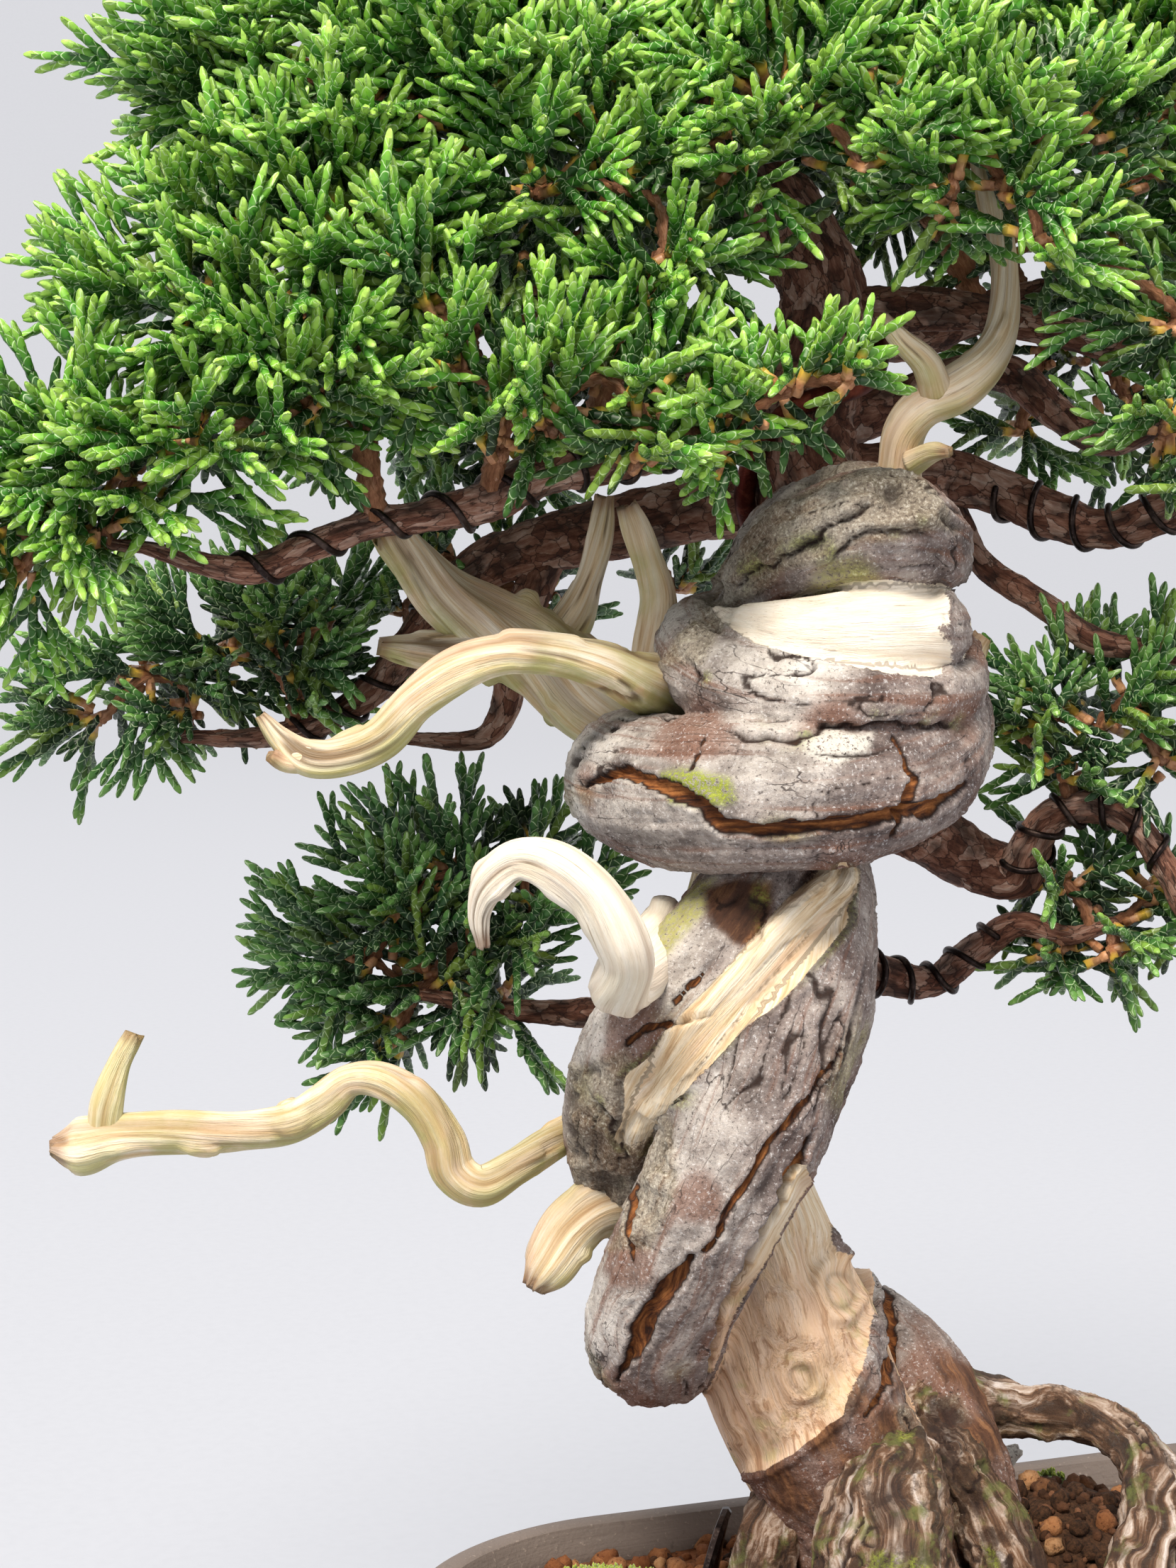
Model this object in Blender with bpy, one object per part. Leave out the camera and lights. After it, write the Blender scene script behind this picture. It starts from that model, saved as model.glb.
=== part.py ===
"""A trained juniper bonsai, wired, with carved deadwood, growing in a shallow rounded pot.

World frame: +Z up, origin under the middle of the pot on the surface it stands on, +X along the pot's
long side, -Y towards the front.  The tree is planted turned to the pot's long side, so its pieces hang
on an empty that carries that turn.  Lengths below are millimetres unless a name says otherwise.
"""

import math

import bmesh
import bpy
import numpy as np
from mathutils import Matrix, Vector

MM = 0.001
GAP = 0.35

POT_LENGTH = 180.0
POT_WIDTH = 120.0
POT_HEIGHT = 55.0
POT_CORNER = 40.0
POT_TAPER = 8.0
POT_WALL = 5.0
POT_FLOOR = 6.0
FOOT_HEIGHT = 4.0
FOOT_WIDTH = 9.0
FOOT_LENGTH = 64.0
FOOT_SPACING = 62.0
DRAIN_RADIUS = 7.5

MESH_SIZE = 20.0
MESH_THICK = 0.8
MESH_BAR = 2.0
CLIP_WIRE = 0.6
CLIP_SPAN = 6.0
CLIP_LEG = 5.5

SOIL_BELOW_RIM = 5.0
SOIL_CROWN = 1.5
MOUND_AT = (2.0, 26.0)
MOUND_HEIGHT = 13.0
MOUND_SPREAD = 13.0

TREE_TURN_DEG = -20.0
TREE_SCALE = 1.0
JIN_GIRTH = 1.0
BRANCH_GIRTH = 1.0
TRUNK_SKIN = 0.9
TRUNK_DETAIL = 0.0235

TRUNK_WIRE = 1.6
BRANCH_WIRE = 0.6
TIE_WIRE = 0.75

DEAD, BARK, FLAKY, ROOT = "deadwood", "bark", "flaky", "root"

# Centrelines of the strands that the wood is grown from: (x, y, z, radius), in the tree's own frame,
# x to the right and y away from the front.  The trunk is twisted, so its live veins wind round a dead core.
TREE_FOOT = (-26.0, 10.0)

STRANDS = {
    "core": (DEAD, [
        (-25.5, 17, 56, 13), (-29.5, 17, 66.5, 13), (-35.5, 15, 79, 13.5), (-40, 13, 91, 13.5),
        (-43.5, 15, 102, 11.5), (-47, 17, 113, 10.5), (-48, 19, 124, 11.5), (-46, 19, 135.5, 12),
        (-44, 18, 147, 11.5), (-41.5, 18, 158.5, 11), (-39, 17, 169.5, 12.5), (-34.5, 17, 181, 12.5),
        (-30, 19, 192, 10.5), (-29, 21, 201, 8.5),
    ]),
    "vein_front": (BARK, [
        (-12, 17, 63, 7.5), (-14.5, 19, 71.5, 7.5), (-19.5, 27, 80, 8), (-31, 37, 85.5, 9),
        (-46.5, 35, 88.5, 10), (-56.5, 19, 90.5, 10), (-58.5, 5, 93, 10), (-56.5, -2, 102, 10),
        (-51.5, -6, 114, 10.5), (-46.5, -6, 124.5, 11), (-42.5, -4, 135, 10.5), (-38.5, 1, 144, 9.5),
        (-36, 9, 151.5, 8.5), (-35.5, 19, 157, 8),
    ]),
    "vein_left": (BARK, [
        (-56.5, 25, 104, 8), (-62.5, 15, 113.5, 7.5), (-63.5, 7, 124, 8), (-60, 0, 134.5, 9),
        (-54, -3, 143.5, 9), (-48.5, -1, 151, 8), (-44, 7, 157.5, 7.5), (-41, 17, 163, 7.5),
    ]),
    "shari_strip": (DEAD, [
        (-62.5, 0, 121, 1.5), (-59.5, -7, 128.5, 2.5), (-54.5, -12, 136.5, 3.5), (-47, -11, 145, 3.5),
        (-40.5, -6, 151.5, 3.5), (-34.5, 1, 156, 2.5), (-32.5, 5, 158.5, 1.5),
    ]),
    "vein_right_edge": (BARK, [
        (-41, 27, 110.5, 5.5), (-37, 25, 123, 6.5), (-34, 21, 135, 7), (-33, 17, 147, 6.5),
        (-34.5, 17, 156, 6.5),
    ]),
    "roll_low": (BARK, [
        (-55.5, 31, 173, 7.5), (-61, 19, 171, 9.5), (-60.5, 7, 170.5, 10), (-54, -3, 170, 10.5),
        (-46, -8, 170.5, 10.5), (-37.5, -9, 170.5, 10), (-30, -5, 171.5, 10), (-23, 3, 174, 9.5),
        (-19, 15, 178.5, 8.5), (-20, 27, 182.5, 8), (-27.5, 35, 184.5, 8),
    ]),
    "roll_mid": (BARK, [
        (-47.5, 29, 191.5, 6), (-52, 17, 190.5, 6), (-52, 5, 187.5, 6.5), (-46, -3, 184, 6.5),
        (-37.5, -7, 182.5, 6), (-29, -7, 182.5, 5.5), (-21.5, -1, 182.5, 4.5), (-16.5, 9, 184, 4),
        (-15, 23, 187.5, 4),
    ]),
    "shari_lens": (DEAD, [
        (-49, 5, 193, 2), (-44, -1, 192, 4), (-37.5, -4, 191.5, 5.5), (-30, -3, 191.5, 6.5),
        (-23.5, 3, 191.5, 6.5), (-20, 11, 192, 5.5),
    ]),
    "lobe_top": (BARK, [
        (-46, 13, 195.5, 4), (-41, 7, 201.5, 6), (-34.5, 1, 205, 7.5), (-27.5, 1, 206, 8),
        (-21.5, 7, 204, 6.5), (-17.5, 15, 201.5, 4),
    ]),
    "lobe_back": (BARK, [
        (-45, 27, 196, 5), (-39.5, 31, 203, 7), (-32.5, 33, 207.5, 7.5), (-27.5, 25, 208.5, 7),
    ]),
    "trunk_top": (FLAKY, [
        (-29, 35, 203, 8), (-34, 39, 210, 8.5), (-36.5, 41, 219.5, 8.5), (-34, 43, 230, 7.5),
        (-33, 43, 240.5, 6.5), (-37.5, 41, 250.5, 6), (-45, 37, 260.5, 5), (-50.5, 33, 270, 4.5),
        (-53.5, 29, 279, 3.5), (-54.5, 25, 289.5, 2.5), (-55.5, 23, 297.5, 1.5),
    ]),
    "jin_low_long": (DEAD, [
        (-69, 17, 120, 2), (-73.5, 11, 119, 2.5), (-78.5, 5, 117, 2.5), (-83, 3, 115, 3),
        (-86.5, 3, 117, 3), (-88, 3, 121.5, 3), (-91.5, 3, 126.5, 3), (-96.5, 3, 129.5, 3),
        (-101, 3, 129.5, 2.5), (-104.5, 3, 126.5, 3), (-109.5, 3, 123.5, 3), (-117, 3, 122.5, 3),
        (-125.5, 2, 122.5, 3), (-133, 1, 122, 3), (-138.5, 1, 120.5, 3.5), (-142, 1, 120.5, 1.5),
    ]),
    "jin_low_spur": (DEAD, [
        (-135, 1, 122.5, 2), (-134.5, 1, 127, 2), (-133, 2, 132, 1.5), (-131, 3, 136, 1.5),
    ]),
    "jin_hook": (DEAD, [
        (-57, 3, 151, 3.5), (-61, -9, 147, 4), (-64, -17, 145.5, 4), (-63, -23, 150.5, 3.5),
        (-65, -25, 155.5, 3.5), (-68, -26, 160, 3), (-72.5, -26, 163, 3), (-77, -25, 163.5, 2.5),
        (-80.5, -24, 160.5, 2.5), (-82, -23, 156.5, 1.5), (-81.5, -22, 152, 1),
    ]),
    "jin_mid_long": (DEAD, [
        (-56, 13, 183.5, 5), (-61, 3, 185, 4), (-66.5, -2, 187.5, 3), (-73.5, -5, 189, 2.5),
        (-80, -7, 189, 2.5), (-85.5, -8, 187, 3), (-91, -9, 183, 3), (-95.5, -9, 178, 3),
        (-101, -9, 175.5, 3), (-105.5, -9, 175.5, 3), (-109, -9, 178, 2), (-111.5, -9, 181, 1),
    ]),
    "jin_mid_fork": (DEAD, [
        (-104.5, -9, 175.5, 2), (-108, -10, 175, 1.5), (-110, -11, 176, 1),
    ]),
    "jin_antler": (DEAD, [
        (-59, 29, 178, 6.5), (-67, 31, 181, 7), (-75, 33, 187, 6.5), (-83, 33, 191.5, 5.5),
        (-89.5, 32, 196, 4.5), (-94, 31, 201.5, 3.5), (-97.5, 30, 206, 3),
    ]),
    "jin_antler_prong": (DEAD, [
        (-80.5, 33, 189, 5), (-87.5, 33, 188, 3.5), (-93.5, 33, 188, 2.5), (-98.5, 33, 188.5, 1.5),
    ]),
    "jin_prong_a": (DEAD, [
        (-74, 33, 188, 3), (-70.5, 33, 192.5, 3), (-68, 33, 198.5, 2), (-66.5, 33, 204, 2),
        (-65.5, 33, 210.5, 1.5),
    ]),
    "jin_prong_b": (DEAD, [
        (-58.5, 19, 186.5, 3), (-58, 19, 192, 3), (-58, 19, 196.5, 2.5), (-59.5, 19, 201.5, 2),
        (-61, 19, 205.5, 2), (-62.5, 19, 209, 1.5),
    ]),
    "jin_stub": (DEAD, [
        (-63.5, 13, 110.5, 5), (-68, 9, 109.5, 4), (-71, 7, 107, 4), (-73.5, 5, 103, 3.5),
        (-75.5, 5, 100, 2),
    ]),
    "jin_right_stub": (DEAD, [
        (-16.5, 27, 186, 3.5), (-13, 27, 187.5, 2.5), (-11, 27, 190, 2),
    ]),
    "jin_top": (DEAD, [
        (-24, 21, 209.5, 4), (-24, 19, 215, 3.5), (-23.5, 18, 219.5, 3.5), (-21, 17, 223, 3.5),
        (-16.5, 17, 225.5, 3.5), (-12, 18, 229.5, 3), (-9.5, 20, 234.5, 2.5), (-9, 21, 242, 2),
        (-10, 22, 249.5, 2), (-12, 23, 258.5, 2), (-13.5, 24, 268.5, 2), (-15.5, 25, 276, 2),
        (-17, 25, 283, 1.5),
    ]),
    "jin_top_spur_a": (DEAD, [
        (-19, 16, 225, 2.5), (-21, 14, 229, 2), (-24.5, 13, 232, 1.5), (-27, 13, 235, 1),
    ]),
    "jin_top_spur_b": (DEAD, [
        (-22.5, 15, 215, 2), (-20, 12, 216.5, 1.5), (-18, 10, 216.5, 1),
    ]),
    "root_front": (ROOT, [
        (-24.5, 7, 72, 7), (-26.5, -1, 68, 9), (-27.5, -7, 62.5, 10), (-28, -13, 56, 11.5),
    ]),
    "root_left": (ROOT, [
        (-35, 13, 69, 5.5), (-40.5, 13, 64.5, 5), (-42.5, 11, 58, 5), (-44.5, 9, 51, 5),
    ]),
    "root_arch": (ROOT, [
        (-17.5, 21, 77, 6), (-11, 25, 77, 5), (-4, 27, 75, 4), (4, 25, 75, 4), (10, 19, 74, 4),
        (12.5, 11, 71, 4), (11, 1, 67, 4.5), (7, -9, 62, 5), (3.5, -17, 56.5, 5),
    ]),
    "root_right_inner": (ROOT, [
        (-17, 15, 73, 5.5), (-11.5, 13, 65.5, 5), (-7.5, 7, 57.5, 5), (-6.5, -1, 51.5, 4.5),
    ]),
    "root_back": (ROOT, [
        (-19.5, 31, 64, 7), (-17, 38, 54, 6.5), (-15, 43, 45, 5),
    ]),
    "branch_left_front": (FLAKY, [
        (-40, 40, 224, 5), (-50, 34, 222, 4.5), (-58, 23, 218.5, 4.5), (-66, 13, 216, 4),
        (-73.5, 7, 214, 3.5), (-82, 3, 209.5, 3), (-88, 1, 208, 2.5), (-96.5, -1, 206.5, 2),
        (-105, -3, 203.5, 2), (-112, -5, 200.5, 2), (-119, -7, 201, 1.5), (-125.5, -7, 203, 1),
        (-131.5, -7, 204, 0.5),
    ]),
    "branch_left_back": (FLAKY, [
        (-38, 47, 210, 5.5), (-50, 51, 209, 5), (-62, 53, 206.5, 5), (-73, 55, 204, 4.5),
        (-82.5, 55, 201, 4), (-89.5, 55, 195.5, 3.5), (-95, 55, 188.5, 3), (-102, 55, 180.5, 2.5),
        (-110.5, 55, 175.5, 2), (-120.5, 55, 173.5, 1.5), (-130.5, 55, 173.5, 1),
    ]),
    "branch_left_sub": (FLAKY, [
        (-74, 55, 203, 3), (-77.5, 55, 194.5, 3), (-80.5, 55, 187, 2.5), (-80.5, 55, 180, 2.5),
        (-83, 55, 174.5, 2), (-87.5, 55, 173, 1.5), (-96, 55, 173.5, 1),
    ]),
    "branch_low_left": (FLAKY, [
        (-50.5, 31, 137, 3.5), (-58.5, 39, 134.5, 3), (-65.5, 43, 132.5, 2.5), (-74, 45, 132, 2),
        (-83.5, 47, 132.5, 1.5), (-93.5, 47, 134.5, 1),
    ]),
    "branch_right_low": (FLAKY, [
        (-35, 26, 165, 5), (-25, 33, 163.5, 4.5), (-17.5, 39, 160.5, 5), (-10, 41, 156, 4.5),
        (-3.5, 39, 154.5, 4), (-1.5, 35, 159.5, 3), (1, 33, 163.5, 2.5), (7, 31, 165, 2.5),
        (12.5, 29, 162.5, 2), (17, 27, 156, 2), (20, 25, 148.5, 1.5),
    ]),
    "branch_right_under": (FLAKY, [
        (-39, 26, 143, 3.5), (-32, 33, 142.5, 3), (-23, 39, 138.5, 3), (-15.5, 41, 137.5, 2.5),
        (-9.5, 41, 142, 2.5), (-3, 39, 146.5, 2), (4, 37, 145, 1.5), (10.5, 35, 147, 1),
    ]),
    "branch_right_mid": (FLAKY, [
        (-30, 41, 214, 4.5), (-21, 43, 214.5, 4), (-13.5, 45, 214, 4), (-6.5, 43, 211.5, 3.5),
        (1, 39, 208, 3.5), (8.5, 35, 206, 3), (15.5, 31, 208, 3), (24, 27, 211, 2.5),
        (32.5, 25, 210, 1.5), (41, 23, 211, 1),
    ]),
    "branch_right_drop": (FLAKY, [
        (-12.5, 47, 209, 2), (-8.5, 43, 200.5, 2), (-0.5, 39, 195, 2), (7, 35, 189.5, 2),
        (15.5, 33, 188, 1.5), (23, 31, 186, 1.5), (29.5, 29, 182.5, 1),
    ]),
    "branch_right_up": (FLAKY, [
        (-32, 43, 221, 4), (-23, 47, 224, 3.5), (-12, 49, 229, 3), (-4, 47, 229, 3),
        (2.5, 43, 223, 2.5), (9, 39, 219, 2.5), (16.5, 35, 221.5, 2), (23.5, 31, 224.5, 1.5),
        (25, 20, 226, 1.5), (22, 12, 228, 1),
    ]),
    "branch_back_left": (FLAKY, [
        (-36, 43, 224, 4.5), (-44, 54, 227, 4), (-54, 64, 228, 3.5), (-64, 71, 230, 3),
        (-76, 76, 232, 2.5), (-88, 78, 231, 2), (-98, 78, 233, 1.5),
    ]),
    "branch_back_right": (FLAKY, [
        (-34, 44, 232, 4.5), (-26, 56, 235, 4), (-16, 64, 236, 3.5), (-6, 68, 240, 3),
        (4, 70, 243, 2.5), (14, 68, 245, 2), (22, 66, 248, 1.5),
    ]),
    "branch_right_high": (FLAKY, [
        (-31.5, 43, 238, 4), (-21, 43, 238.5, 3.5), (-11, 41, 238, 3), (-2, 39, 236, 2.5),
        (7, 35, 233.5, 2.5), (15.5, 31, 232.5, 2), (23.5, 27, 235.5, 1.5),
    ]),
}

# Clumps of foliage in each pad: (x, y, z, radius), in the tree's own frame.
PADS = {
    "left_top": [
        (-117, 13, 266, 12), (-105, 13, 272, 12), (-111, 23, 284, 11), (-94, 13, 278, 12),
        (-88, 5, 266, 11), (-98, 3, 261, 9),
    ],
    "left_upper": [
        (-123, 5, 239, 11), (-113, 8, 249, 11), (-101, 3, 251, 11), (-94, -1, 244, 10),
        (-115, -5, 234, 10), (-104, -7, 236, 10),
    ],
    "left_front": [
        (-134, -5, 223, 9), (-140, -2, 212, 9), (-151, 3, 210, 9), (-129, -9, 214, 9),
        (-118, -11, 220, 9), (-108, -11, 222, 8), (-145, -2, 202, 7), (-133, -7, 206, 6),
        (-102, -9, 227, 9),
    ],
    "mid_front": [
        (-89, -7, 238, 10), (-87, -11, 229, 9), (-78, -11, 223, 9), (-81, -11, 217, 7),
        (-66, -7, 229, 9), (-59, -11, 223, 8), (-61, -13, 215, 6), (-72, -13, 219, 7),
    ],
    "mid_tip": [
        (-51, -11, 223, 6), (-48, -11, 220, 5), (-41, -13, 226, 5), (-34, -13, 226, 3),
        (-51, -11, 216, 4),
    ],
    "mid_upper": [
        (-81, 8, 265, 11), (-72, 13, 273, 12), (-65, 5, 264, 10), (-77, 1, 253, 10), (-62, 3, 253, 8),
        (-56, -1, 244, 8), (-59, -3, 237, 6),
    ],
    "center_front": [
        (-44, 8, 270, 10), (-37, 3, 262, 9), (-52, 3, 261, 8), (-28, 8, 267, 9), (-30, 1, 256, 8),
        (-46, 13, 278, 10), (-48, 1, 254, 6),
    ],
    "right_front": [
        (-19, 3, 261, 10), (-14, 1, 253, 9), (-6, 3, 262, 8), (-21, -1, 252, 7), (-7, -1, 244, 6),
        (0, 5, 261, 6),
    ],
    "right_edge": [
        (11, 8, 237, 8), (16, 8, 227, 8), (16, 5, 215, 7), (10, 5, 220, 6), (20, 13, 242, 9),
        (21, 8, 206, 6),
    ],
    "right_upper": [
        (6, 28, 275, 11), (15, 23, 267, 11), (19, 23, 278, 11), (13, 33, 258, 9), (24, 23, 257, 9),
        (3, 33, 288, 10),
    ],
    "back_right": [
        (4, 63, 275, 11), (13, 63, 252, 11), (7, 68, 236, 10), (18, 63, 227, 10), (-3, 73, 256, 9),
        (1, 73, 223, 7),
    ],
    "back_left": [
        (-76, 73, 251, 13), (-89, 73, 243, 13), (-64, 78, 234, 10), (-99, 73, 227, 12),
        (-83, 78, 223, 9), (-60, 73, 262, 13),
    ],
    "mid_left_rear": [
        (-145, 55, 178, 7), (-138, 57, 186, 9), (-131, 55, 178, 6), (-127, 58, 190, 10),
        (-115, 57, 188, 9), (-112, 57, 181, 7), (-107, 57, 193, 8),
    ],
    "small_rear": [
        (-84, 68, 197, 7), (-74, 71, 195, 6), (-98, 65, 194, 6), (-53, 71, 198, 5), (-92, 68, 204, 6),
    ],
    "low_left_rear": [
        (-104, 49, 142, 10), (-97, 49, 151, 10), (-89, 51, 157, 8), (-93, 49, 137, 10),
        (-98, 49, 130, 8), (-82, 51, 147, 10), (-82, 49, 134, 9), (-76, 53, 157, 6), (-72, 51, 149, 7),
    ],
    "right_mid": [
        (0, 35, 182, 7), (-4, 33, 176, 5), (7, 35, 179, 8), (13, 33, 184, 7), (18, 31, 173, 6),
        (2, 33, 170, 4), (23, 31, 184, 6),
    ],
    "right_low": [
        (3, 37, 155, 6), (9, 35, 149, 7), (11, 35, 143, 5), (17, 35, 154, 6), (1, 37, 144, 4),
        (24, 35, 149, 6),
    ],
    "apex_left": [
        (-87, 18, 288, 12), (-75, 23, 295, 12), (-96, 33, 294, 12), (-81, 38, 306, 11),
        (-87, 58, 293, 12), (-69, 48, 310, 11),
    ],
    "apex": [
        (-58, 18, 296, 12), (-47, 33, 306, 12), (-61, 38, 312, 11), (-44, 13, 290, 11),
        (-52, 58, 318, 11), (-60, 68, 305, 13),
    ],
    "apex_right": [
        (-27, 18, 288, 12), (-17, 23, 284, 11), (-12, 33, 297, 10), (-26, 38, 303, 11),
        (-16, 68, 302, 13), (-3, 43, 290, 11),
    ],
    "crown_back": [
        (-71, 88, 285, 14), (-48, 93, 286, 14), (-25, 91, 286, 14), (-37, 88, 301, 13),
        (-39, 93, 270, 13), (-19, 88, 267, 12),
    ],
}

# Strands that leave the trunk as live branches, each a piece of its own.
BRANCHES = [name for name in STRANDS if name.startswith("branch_")]
TRUNK = [name for name in STRANDS if not name.startswith("branch_")]
JINS = [name for name in TRUNK if name.startswith("jin_")]

# Where wire is wound: branch, share of its length at the start and the end, turns.
BRANCH_WIRES = {
    "wire_left_front": ("branch_left_front", 0.12, 0.86, 9),
    "wire_left_back": ("branch_left_back", 0.46, 0.86, 6),
    "wire_right_low": ("branch_right_low", 0.52, 0.92, 6),
    "wire_right_mid": ("branch_right_mid", 0.32, 0.80, 6),
    "wire_right_under": ("branch_right_under", 0.12, 0.70, 6),
}

COLOURS = {
    "pot": ((0.145, 0.110, 0.103), 0.62, 0.0),
    "soil": ((0.235, 0.130, 0.070), 0.95, 0.0),
    "trunk": ((0.270, 0.240, 0.265), 0.80, 0.0),
    "branch": ((0.180, 0.100, 0.070), 0.88, 0.0),
    "foliage": ((0.055, 0.220, 0.040), 0.60, 0.0),
    "wire": ((0.045, 0.020, 0.020), 0.35, 0.9),
    "mesh": ((0.030, 0.035, 0.040), 0.55, 0.0),
    "moss": ((0.120, 0.190, 0.035), 0.95, 0.0),
    "chip": ((0.620, 0.560, 0.470), 0.85, 0.0),
}


def clear_scene():
    """Empty the scene of whatever it opened with."""
    for obj in list(bpy.data.objects):
        bpy.data.objects.remove(obj, do_unlink=True)


def material(kind):
    """The Principled material of one kind of piece."""
    colour, roughness, metallic = COLOURS[kind]
    mat = bpy.data.materials.new(kind)
    mat.use_nodes = True
    shader = mat.node_tree.nodes["Principled BSDF"]
    shader.inputs["Base Color"].default_value = (*colour, 1.0)
    shader.inputs["Roughness"].default_value = roughness
    shader.inputs["Metallic"].default_value = metallic
    return mat


def add_object(name, kind, bm, parent=None, cutter=False):
    """Turn a bmesh in millimetres into a named object with a material of its own."""
    bmesh.ops.scale(bm, vec=(MM, MM, MM), verts=bm.verts)
    bmesh.ops.recalc_face_normals(bm, faces=bm.faces)
    mesh = bpy.data.meshes.new(name)
    bm.to_mesh(mesh)
    bm.free()
    obj = bpy.data.objects.new(name, mesh)
    bpy.context.scene.collection.objects.link(obj)
    obj.parent = parent
    if cutter:
        obj.hide_render = True
        obj.display_type = "WIRE"
        return obj
    mesh.materials.append(material(kind))
    mesh.shade_smooth()
    mesh.set_sharp_from_angle(angle=math.radians(40.0))
    return obj


def boolean(obj, other, operation):
    """Join another mesh to this one, or cut it away."""
    mod = obj.modifiers.new(operation.lower() + "_" + other.name, "BOOLEAN")
    mod.operation = operation
    mod.solver = "EXACT"
    mod.object = other


def loft(bm, loops, close_ends=True):
    """Skin a run of equal closed loops of points, and cap the first and the last."""
    rings = [[bm.verts.new(p) for p in loop] for loop in loops]
    for low, high in zip(rings, rings[1:]):
        for i in range(len(low)):
            j = (i + 1) % len(low)
            bm.faces.new((low[i], low[j], high[j], high[i]))
    if close_ends:
        bm.faces.new(rings[0][::-1])
        bm.faces.new(rings[-1])
    return rings


def smooth_path(points, step):
    """Catmull-Rom curve through rows of numbers, sampled about every step along the first three."""
    pts = np.array(points, float)
    ends = np.vstack([2 * pts[0] - pts[1], pts, 2 * pts[-1] - pts[-2]])
    out = []
    for a, b, c, d in zip(ends, ends[1:], ends[2:], ends[3:]):
        count = max(1, int(round(np.linalg.norm((c - b)[:3]) / step)))
        for t in np.arange(count) / count:
            out.append(0.5 * (2 * b + (c - a) * t + (2 * a - 5 * b + 4 * c - d) * t**2
                              + (3 * b - a - 3 * c + d) * t**3))
    out.append(pts[-1])
    return np.array(out)


def frames(path):
    """Tangent and two side directions along a path, turned as little as possible from point to point."""
    tangents = np.gradient(path[:, :3], axis=0)
    tangents /= np.linalg.norm(tangents, axis=1)[:, None]
    side = np.cross(tangents[0], (0.0, 0.0, 1.0))
    if np.linalg.norm(side) < 0.2:
        side = np.cross(tangents[0], (1.0, 0.0, 0.0))
    sides = []
    for tangent in tangents:
        side = side - tangent * (side @ tangent)
        side = side / np.linalg.norm(side)
        sides.append(side)
    sides = np.array(sides)
    return tangents, sides, np.cross(tangents, sides)


def tube(bm, path, sides, grow=0.0, rounded=False):
    """A closed tube along rows of (x, y, z, radius), with flat or rounded ends."""
    tangents, side, up = frames(path)
    angles = 2 * math.pi * np.arange(sides) / sides
    radii = (path[:, 3] + grow) / (0.5 + 0.5 * math.cos(math.pi / sides))
    stations = [(path[i, :3], radii[i], i) for i in range(len(path))]
    if rounded:
        first, last = path[0, :3], path[-1, :3]
        stations = (
            [(first - tangents[0] * radii[0] * a, radii[0] * b, 0) for a, b in ((0.9, 0.4), (0.5, 0.86))]
            + stations
            + [(last + tangents[-1] * radii[-1] * a, radii[-1] * b, len(path) - 1)
               for a, b in ((0.5, 0.86), (0.9, 0.4))]
        )
    loops = [
        [centre + r * (math.cos(a) * side[i] + math.sin(a) * up[i]) for a in angles]
        for centre, r, i in stations
    ]
    loft(bm, loops)


def strand(name, step):
    """The smoothed centreline of one strand, at the tree's size."""
    path = smooth_path(STRANDS[name][1], step)
    foot = np.array([*TREE_FOOT, soil_height()])
    path[:, :3] = foot + (path[:, :3] - foot) * TREE_SCALE
    girth = JIN_GIRTH if name in JINS else BRANCH_GIRTH if name in BRANCHES else 1.0
    path[:, 3] = np.maximum(path[:, 3] * girth * TREE_SCALE, 0.6)
    return path


def soil_height():
    """Level of the soil at the pot's wall."""
    return POT_HEIGHT - SOIL_BELOW_RIM


def to_tree(x, y):
    """A point of the pot's frame in the tree's frame."""
    turn = math.radians(TREE_TURN_DEG)
    return x * math.cos(turn) + y * math.sin(turn), -x * math.sin(turn) + y * math.cos(turn)


def rounded_loop(inset, z, steps=7):
    """The pot's outline, moved in by inset, at height z."""
    half_x, half_y = POT_LENGTH / 2 - inset, POT_WIDTH / 2 - inset
    radius = max(min(POT_CORNER, half_x + inset - 5, half_y + inset - 5) - inset, 4.0)
    loop = []
    for corner, (sx, sy) in enumerate(((1, 1), (-1, 1), (-1, -1), (1, -1))):
        for k in range(steps + 1):
            a = math.pi / 2 * (corner + k / steps)
            loop.append((sx * (half_x - radius) + radius * math.cos(a),
                         sy * (half_y - radius) + radius * math.sin(a), z))
    return loop


def inner_inset(z):
    """Distance of the pot's inner wall from its rim outline at height z."""
    share = (POT_HEIGHT - z) / (POT_HEIGHT - FOOT_HEIGHT)
    return POT_WALL + POT_TAPER * 0.9 * share**1.2


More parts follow.
